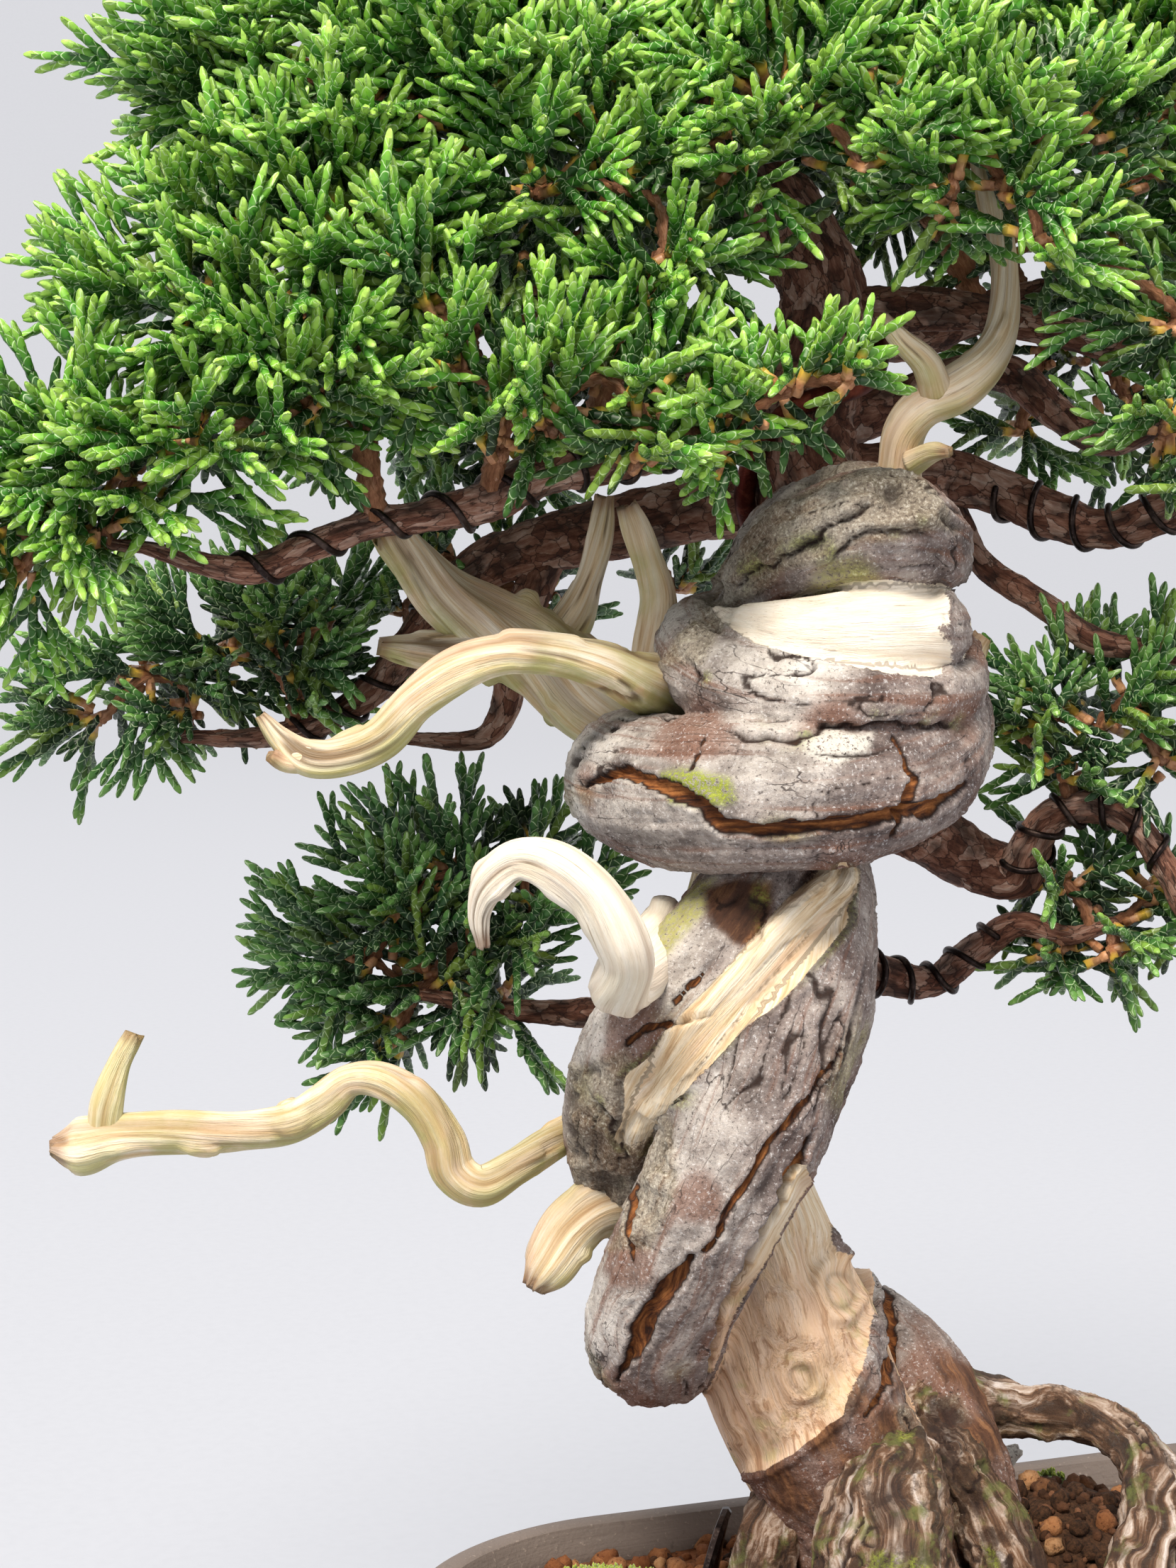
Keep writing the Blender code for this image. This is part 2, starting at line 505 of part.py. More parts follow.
def add_pot():
    """The glazed pot: shell, rolled lip, three bar feet and two drain holes."""
    top = POT_HEIGHT
    floor = FOOT_HEIGHT + POT_FLOOR
    outer = [(POT_TAPER, FOOT_HEIGHT), (POT_TAPER * 0.72, FOOT_HEIGHT + 2.5), (POT_TAPER * 0.42, top * 0.5),
             (2.2, top - 6.0), (1.6, top - 4.5), (0.1, top - 3.6), (0.0, top - 1.0), (0.9, top)]
    inner = [(POT_WALL - 1.6, top), (POT_WALL - 0.9, top - 1.0), (inner_inset(top - 3.0), top - 3.0),
             (inner_inset(top * 0.5), top * 0.5), (inner_inset(floor + 2.5), floor + 2.5),
             (inner_inset(floor) + 2.5, floor)]
    bm = bmesh.new()
    loft(bm, [rounded_loop(*ring) for ring in outer + inner])
    pot = add_object("pot", "pot", bm)
    for k in (-1, 0, 1):
        bm = bmesh.new()
        bmesh.ops.create_cube(bm, size=1.0)
        bmesh.ops.scale(bm, vec=(FOOT_WIDTH, FOOT_LENGTH, FOOT_HEIGHT + 1.0), verts=bm.verts)
        bmesh.ops.translate(bm, vec=(k * FOOT_SPACING, 0, (FOOT_HEIGHT + 1.0) / 2), verts=bm.verts)
        boolean(pot, add_object(f"cutter_foot_{k}", None, bm, cutter=True), "UNION")
    for k in (-1, 1):
        bm = bmesh.new()
        bmesh.ops.create_cone(bm, cap_ends=True, segments=20, radius1=DRAIN_RADIUS, radius2=DRAIN_RADIUS,
                              depth=POT_FLOOR + 8.0)
        bmesh.ops.translate(bm, vec=(k * FOOT_SPACING / 2, 0, FOOT_HEIGHT + POT_FLOOR / 2), verts=bm.verts)
        boolean(pot, add_object(f"cutter_drain_{k}", None, bm, cutter=True), "DIFFERENCE")
    return pot


def add_drainage():
    """A plastic mesh over each drain hole, held by a bent wire clip; returns the boxes kept free of soil."""
    floor = FOOT_HEIGHT + POT_FLOOR
    keep_free = []
    for k, side in ((-1, "left"), (1, "right")):
        x0 = k * FOOT_SPACING / 2
        low = floor + GAP
        hole = (MESH_SIZE - 4 * MESH_BAR) / 3
        lines = [-MESH_SIZE / 2]
        for width in (MESH_BAR, hole) * 3 + (MESH_BAR,):
            lines.append(lines[-1] + width)
        bm = bmesh.new()
        grid = {}
        for i, x in enumerate(lines):
            for j, y in enumerate(lines):
                grid[i, j, 0] = bm.verts.new((x0 + x, y, low))
                grid[i, j, 1] = bm.verts.new((x0 + x, y, low + MESH_THICK))
        cells = {(i, j) for i in range(7) for j in range(7) if not (i % 2 and j % 2)}
        for i, j in cells:
            for level in (0, 1):
                bm.faces.new([grid[i, j, level], grid[i + 1, j, level],
                              grid[i + 1, j + 1, level], grid[i, j + 1, level]])
            for di, dj, a, b in ((-1, 0, (0, 0), (0, 1)), (1, 0, (1, 0), (1, 1)),
                                 (0, -1, (0, 0), (1, 0)), (0, 1, (0, 1), (1, 1))):
                if (i + di, j + dj) not in cells:
                    p, q = (i + a[0], j + a[1]), (i + b[0], j + b[1])
                    bm.faces.new([grid[(*p, 0)], grid[(*q, 0)], grid[(*q, 1)], grid[(*p, 1)]])
        add_object(f"drainage_mesh_{side}", "mesh", bm)
        high = low + MESH_THICK + GAP + CLIP_WIRE
        under = FOOT_HEIGHT - GAP - CLIP_WIRE
        leg = (MESH_BAR + hole) if CLIP_LEG < 0 else min(CLIP_LEG, DRAIN_RADIUS - CLIP_WIRE - GAP)
        reach = DRAIN_RADIUS + CLIP_SPAN
        route = [(-reach, 0, under), (-leg, 0, under), (-leg, 0, high), (leg, 0, high), (leg, 0, under),
                 (reach, 0, under)]
        path = np.array([(x0 + x, y, z, CLIP_WIRE) for x, y, z in route])
        bm = bmesh.new()
        mitred_wire(bm, path, 6)
        add_object(f"mesh_clip_{side}", "wire", bm)
        box = bmesh.new()
        bmesh.ops.create_cube(box, size=1.0)
        size = MESH_SIZE + 2 * GAP
        depth = high + CLIP_WIRE + GAP - floor + 4.0
        bmesh.ops.scale(box, vec=(size, size, depth), verts=box.verts)
        bmesh.ops.translate(box, vec=(x0, 0, floor - 4.0 + depth / 2), verts=box.verts)
        keep_free.append(add_object(f"cutter_mesh_{side}", None, box, cutter=True))
    return keep_free


def mitred_wire(bm, path, sides):
    """A wire of constant thickness bent in the XZ plane, mitred at its corners."""
    points = path[:, :3]
    radius = path[0, 3]
    legs = np.diff(points, axis=0)
    legs /= np.linalg.norm(legs, axis=1)[:, None]
    loops = []
    across = np.array((0.0, 1.0, 0.0))
    for i, point in enumerate(points):
        before, after = legs[max(i - 1, 0)], legs[min(i, len(legs) - 1)]
        mitre = before + after
        mitre /= np.linalg.norm(mitre)
        normal = np.cross(mitre, across)
        stretch = 1.0 / max(normal @ np.cross(before, across), 0.3)
        loops.append([point + radius * (math.cos(a) * normal * stretch + math.sin(a) * across)
                      for a in (2 * math.pi * k / sides for k in range(sides))])
    loft(bm, loops)


def add_soil(keep_free):
    """The soil that fills the pot to below its lip, heaped at the foot of the trunk."""
    floor = FOOT_HEIGHT + POT_FLOOR
    level = soil_height()
    bm = bmesh.new()
    loops = [rounded_loop(inner_inset(floor) + 2.5 + GAP, floor + GAP, 6)]
    for z in (floor + 2.5 + GAP, POT_HEIGHT * 0.5, level - 0.8):
        loops.append(rounded_loop(inner_inset(z) + GAP, z, 6))
    rim = loops[-1]
    mound_x, mound_y = MOUND_AT
    for share in (0.99, 0.86, 0.72, 0.58, 0.44, 0.30, 0.16):
        ring = []
        for x, y, _ in rim:
            px, py = x * share, y * share
            tx, ty = to_tree(px, py)
            away = ((tx - mound_x) ** 2 + (ty - mound_y) ** 2) / (2 * MOUND_SPREAD**2)
            crown = SOIL_CROWN * (1 - share**2) + MOUND_HEIGHT * math.exp(-away) * min(1, (1 - share) * 6)
            ring.append((px, py, level + crown))
        loops.append(ring)
    loft(bm, loops)
    soil = add_object("soil", "soil", bm)
    for cutter in keep_free:
        boolean(soil, cutter, "DIFFERENCE")
    return soil


def add_skin(name, kind, names, parent, voxel, detail, step=2.0):
    """One grown piece of wood: its strands skinned into a single closed surface, then thinned."""
    bm = bmesh.new()
    for strand_name in names:
        tube(bm, strand(strand_name, step), 16, rounded=True)
    obj = add_object(name, kind, bm, parent)
    skin = obj.modifiers.new("grown_together", "REMESH")
    skin.mode = "VOXEL"
    skin.voxel_size = voxel * MM
    skin.use_smooth_shade = True
    thin = obj.modifiers.new("thinned", "DECIMATE")
    thin.ratio = detail
    return obj


def clear_start(path, others, margin):
    """Index of the first point of a path from which it lies outside the other tubes by the margin."""
    tangents, side, up = frames(path)
    last = 0
    for i in range(len(path)):
        ring = [path[i, :3] + path[i, 3] * (math.cos(a) * side[i] + math.sin(a) * up[i])
                for a in np.linspace(0, 2 * math.pi, 12, endpoint=False)]
        gap = min(float((np.linalg.norm(other[:, :3] - p, axis=1) - other[:, 3]).min())
                  for p in ring for other in others)
        if gap < margin:
            last = i + 1
        elif i > last + 24:
            break
    return last


def thinned(path, every=20):
    """Every so many points of a finely sampled path, with both its ends."""
    return path[sorted({*range(0, len(path) - every // 2, every), len(path) - 1})]


def add_branches(parent):
    """The live branches, each starting at its seat on the wood that carries it."""
    trunk_tubes = [strand(name, 0.7) for name in TRUNK]
    grown = {}
    for name in BRANCHES:
        path = strand(name, 0.3)
        start = clear_start(path, trunk_tubes + list(grown.values()), GAP)
        grown[name] = path[start:]
        keep = thinned(grown[name])
        bm = bmesh.new()
        tube(bm, keep, 8)
        add_object(name, "branch", bm, parent)
    return grown


def straightened(path):
    """The same run of straight pieces, sampled finely."""
    at = np.linspace(0, len(path) - 1, 24 * len(path))
    return np.array([np.interp(at, np.arange(len(path)), column) for column in path.T]).T


def coil(path, first, last, turns, wire, phase=0.0, per_turn=7):
    """Wire wound round a tube between two shares of its length."""
    tangents, side, up = frames(path)
    points = []
    for k in range(int(turns * per_turn) + 1):
        share = first + (last - first) * k / (turns * per_turn)
        at = share * (len(path) - 1)
        i = min(int(at), len(path) - 2)
        f = at - i
        centre = path[i, :3] * (1 - f) + path[i + 1, :3] * f
        radius = (path[i, 3] * (1 - f) + path[i + 1, 3] * f + wire + GAP + 0.2) / math.cos(math.pi / per_turn)
        a = phase + 2 * math.pi * k / per_turn
        points.append([*(centre + radius * (math.cos(a) * side[i] + math.sin(a) * up[i])), wire])
    return np.array(points)


def add_wires(parent, grown):
    """Training wire on the branches, the heavy copper wire on the upper trunk and the tie-down wire."""
    for name, (branch, first, last, turns) in BRANCH_WIRES.items():
        bm = bmesh.new()
        tube(bm, coil(straightened(thinned(grown[branch])), first, last, turns, BRANCH_WIRE), 4)
        add_object(name, "wire", bm, parent)
    bm = bmesh.new()
    trunk_top = strand("trunk_top", 0.5)
    trunk_top[:, 3] += 0.5
    tube(bm, coil(trunk_top, 0.08, 0.34, 0.62, TRUNK_WIRE, phase=1.9, per_turn=14), 6)
    add_object("copper_wire_trunk", "wire", bm, parent)


def add_tie_wire(parent, soil):
    """The wire that ties the roots down: it comes out of the soil and goes over the left root."""
    root = strand("root_left", 0.5)
    x, y, z, radius = root[int(len(root) * 0.55)]
    near = x - radius - TIE_WIRE - GAP - 0.4
    low = soil_height() - 7.0
    route = [(near - 4, y - 9, low), (near - 4, y - 8, z - 7), (near - 1.5, y - 5, z + 2),
             (near + 0.3, y - 0.5, z + 5), (near + 0.2, y + 5, z + 2), (near - 1, y + 9, z - 7),
             (near - 1.5, y + 10, low)]
    path = smooth_path([(*p, TIE_WIRE) for p in route], 2.2)
    bm = bmesh.new()
    tube(bm, path, 6)
    wire = add_object("tie_down_wire", "wire", bm, parent)
    bm = bmesh.new()
    tube(bm, path, 6, grow=GAP + 0.1)
    boolean(soil, add_object("cutter_tie_wire", None, bm, parent, cutter=True), "DIFFERENCE")
    return wire


def seat_trunk_in_soil(soil, parent):
    """Hollow the soil where the trunk and the roots go into it."""
    level = soil_height()
    for name in [n for n in TRUNK if strand(n, 4.0)[:, 2].min() < level + MOUND_HEIGHT + 8]:
        path = strand(name, 5.0)
        bm = bmesh.new()
        tube(bm, path, 8, grow=GAP + 0.45, rounded=True)
        boolean(soil, add_object("cutter_" + name, None, bm, parent, cutter=True), "DIFFERENCE")


def dome(bm, centre, size, rings=4, sides=10):
    """A low cushion with an uneven edge and a flat underside."""
    loops = []
    for k in range(rings + 1):
        a = math.pi / 2 * k / (rings + 0.35)
        loops.append([(centre[0] + size[0] * math.cos(a) * (1 + 0.08 * math.sin(3 * t)) * math.cos(t),
                       centre[1] + size[1] * math.cos(a) * (1 + 0.08 * math.sin(3 * t)) * math.sin(t),
                       centre[2] + size[2] * math.sin(a))
                      for t in (2 * math.pi * i / sides for i in range(sides))])
    loft(bm, loops)


def add_ground_cover(soil, parent):
    """Moss cushions and a flake of shed bark, bedded in the soil."""
    level = soil_height()
    pieces = {
        "moss_left": ("moss", (-66.0, 18.0, level + 0.2), (11.0, 8.0, 3.0)),
        "moss_front": ("moss", (-2.0, -44.0, level + 0.2), (15.0, 8.0, 3.2)),
        "moss_right": ("moss", (52.0, 8.0, level + 0.2), (13.0, 10.0, 3.0)),
    }
    for name, (kind, centre, size) in pieces.items():
        bm = bmesh.new()
        dome(bm, centre, size)
        add_object(name, kind, bm, parent)
        bm = bmesh.new()
        dome(bm, (centre[0], centre[1], centre[2] - GAP), [s + GAP * 2.2 for s in size])
        boolean(soil, add_object("cutter_" + name, None, bm, parent, cutter=True), "DIFFERENCE")


def half_space(bm, point, normal):
    """Keep the part of a convex solid behind a plane."""
    cut = bmesh.ops.bisect_plane(bm, geom=bm.verts[:] + bm.edges[:] + bm.faces[:], dist=1e-5,
                                 plane_co=point, plane_no=normal, clear_outer=True)
    edges = [e for e in cut["geom_cut"] if isinstance(e, bmesh.types.BMEdge)]
    if edges:
        bmesh.ops.holes_fill(bm, edges=edges, sides=0)


def add_foliage(parent, grown):
    """Foliage pads: each a rounded solid round its clumps, parted from its neighbours and from the wood."""
    balls = {}
    foot = np.array([*TREE_FOOT, soil_height()])
    for name, clumps in PADS.items():
        data = np.array(clumps, float)
        data[:, :3] = foot + (data[:, :3] - foot) * TREE_SCALE
        data[:, 3] *= TREE_SCALE
        balls[name] = data
    middles = {name: np.average(d[:, :3], axis=0, weights=d[:, 3] ** 3) for name, d in balls.items()}
    wood = {name: strand(name, 2.0) for name in ("trunk_top", "jin_top", "jin_top_spur_a", "jin_mid_long",
                                                 "jin_antler", "jin_prong_a", "jin_prong_b", "lobe_top",
                                                 "lobe_back", "jin_hook", "jin_antler_prong",
                                                 "jin_low_long", "vein_left", "core", "roll_low")}
    limbs = dict(grown)
    for name, data in balls.items():
        ball = bmesh.new()
        bmesh.ops.create_icosphere(ball, subdivisions=2, radius=1.0)
        unit = np.array([v.co for v in ball.verts]) * (1.0, 1.0, 0.86)
        ball.free()
        bm = bmesh.new()
        for x, y, z, r in data:
            for p in unit * r + (x, y, z):
                bm.verts.new(p)
        bmesh.ops.convex_hull(bm, input=bm.verts[:])
        bmesh.ops.delete(bm, geom=[v for v in bm.verts if not v.link_faces], context="VERTS")
        for other, rest in balls.items():
            if other == name:
                continue
            normal = middles[other] - middles[name]
            normal /= np.linalg.norm(normal)
            mine = float((data[:, :3] @ normal + data[:, 3]).max())
            theirs = float((rest[:, :3] @ normal - rest[:, 3]).min())
            if theirs < mine + 2 * GAP:
                plane = (mine + theirs) / 2 - GAP / 2
                half_space(bm, Vector(normal * plane), Vector(normal))
        bmesh.ops.dissolve_limit(bm, angle_limit=math.radians(13.0), verts=bm.verts, edges=bm.edges)
        bmesh.ops.triangulate(bm, faces=bm.faces[:])
        box = np.array([v.co for v in bm.verts])
        low, high = box.min(axis=0), box.max(axis=0)
        pad = add_object("foliage_" + name, "foliage", bm, parent)
        for kind, tubes, grow in (("wood", wood, 0.8), ("limb", limbs, GAP + 0.2)):
            for tube_name, path in tubes.items():
                inside = ((path[:, :3] > low - path[:, 3:] - 1) & (path[:, :3] < high + path[:, 3:] + 1)).all(axis=1)
                if not inside.any():
                    continue
                wired = [w for w in BRANCH_WIRES.values() if w[0] == tube_name]
                extra = 2 * BRANCH_WIRE + GAP + 0.9 if wired else 0.0
                extra = 2 * TRUNK_WIRE + GAP + 0.9 if tube_name == "trunk_top" else extra
                thick = thinned(path) if kind == "limb" else path
                bm = bmesh.new()
                tube(bm, thick, 8, grow=grow + extra, rounded=True)
                boolean(pad, add_object(f"cutter_{name}_{tube_name}", None, bm, parent, cutter=True),
                        "DIFFERENCE")


def main():
    """Build every piece of the planted tree."""
    clear_scene()
    add_pot()
    soil = add_soil(add_drainage())
    tree = bpy.data.objects.new("tree", None)
    bpy.context.scene.collection.objects.link(tree)
    tree.rotation_euler = (0.0, 0.0, math.radians(TREE_TURN_DEG))
    add_skin("trunk", "trunk", TRUNK, tree, TRUNK_SKIN, TRUNK_DETAIL)
    seat_trunk_in_soil(soil, tree)
    grown = add_branches(tree)
    add_wires(tree, grown)
    add_tie_wire(tree, soil)
    add_ground_cover(soil, tree)
    add_foliage(tree, grown)


main()
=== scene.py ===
"""Looks of a wired juniper bonsai with carved deadwood, planted in a shallow rounded pot.

Everything that belongs to the tree is drawn in the tree's own frame in millimetres (x to the right, y away
from its front, z up) and turned into the row's frame when a piece is made.  The pot and the ground it holds
are drawn straight in the row's frame.
"""

from __future__ import annotations

import logging
import math
from collections.abc import Iterator, Sequence
from dataclasses import dataclass, field, replace
from enum import Enum
from functools import partial
from typing import NamedTuple

import bpy
import numpy as np
from bpy.types import Material, Node, NodeSocket, NodeTree, Object
from numpy.linalg import norm
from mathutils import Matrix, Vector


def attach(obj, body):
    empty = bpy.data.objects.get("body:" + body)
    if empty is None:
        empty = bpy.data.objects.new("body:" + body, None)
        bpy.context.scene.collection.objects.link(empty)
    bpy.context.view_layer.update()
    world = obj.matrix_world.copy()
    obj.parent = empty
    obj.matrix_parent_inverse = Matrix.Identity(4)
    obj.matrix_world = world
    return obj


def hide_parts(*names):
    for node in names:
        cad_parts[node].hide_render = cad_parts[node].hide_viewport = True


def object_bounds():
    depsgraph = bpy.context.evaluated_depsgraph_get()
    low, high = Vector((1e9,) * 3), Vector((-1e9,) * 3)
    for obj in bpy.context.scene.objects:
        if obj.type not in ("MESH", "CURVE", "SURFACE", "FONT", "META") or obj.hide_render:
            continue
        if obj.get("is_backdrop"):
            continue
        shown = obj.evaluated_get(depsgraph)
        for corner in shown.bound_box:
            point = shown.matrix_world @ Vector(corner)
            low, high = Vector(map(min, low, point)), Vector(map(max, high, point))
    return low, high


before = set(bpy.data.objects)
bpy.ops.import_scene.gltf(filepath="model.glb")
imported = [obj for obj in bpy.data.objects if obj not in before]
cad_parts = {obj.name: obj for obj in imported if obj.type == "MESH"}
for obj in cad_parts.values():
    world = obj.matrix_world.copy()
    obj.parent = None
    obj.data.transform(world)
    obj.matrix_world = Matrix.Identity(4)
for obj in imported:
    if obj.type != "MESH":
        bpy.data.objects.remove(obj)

log = logging.getLogger("bonsai")

Rows = np.ndarray
Pair = tuple[float, float]
Triple = tuple[float, float, float]

MM = 0.001
TREE_TURN = math.radians(-20.0)
INTO_ROW = np.array(((math.cos(TREE_TURN), math.sin(TREE_TURN), 0),
                     (-math.sin(TREE_TURN), math.cos(TREE_TURN), 0), (0, 0, 1)))
FRONT_EYE = np.array((-68.0, -385.5, 204.9))
DRAWING_PLANE_Y = 13.0
GOLDEN_TURN = 2.39996
PIECE_QUADS = 90000


class Wood(Enum):
    """What a strand of the tree is covered with."""

    DEAD = "bleached deadwood"
    BARK = "live bark"
    FLAKY = "flaking bark"
    ROOT = "weathered root"


DEAD, BARK, FLAKY, ROOT = Wood.DEAD, Wood.BARK, Wood.FLAKY, Wood.ROOT


def read_rows(text: str) -> Rows:
    """The rows of numbers in a table's text, parted by commas."""
    return np.array([row.split() for row in text.split(",")], float)


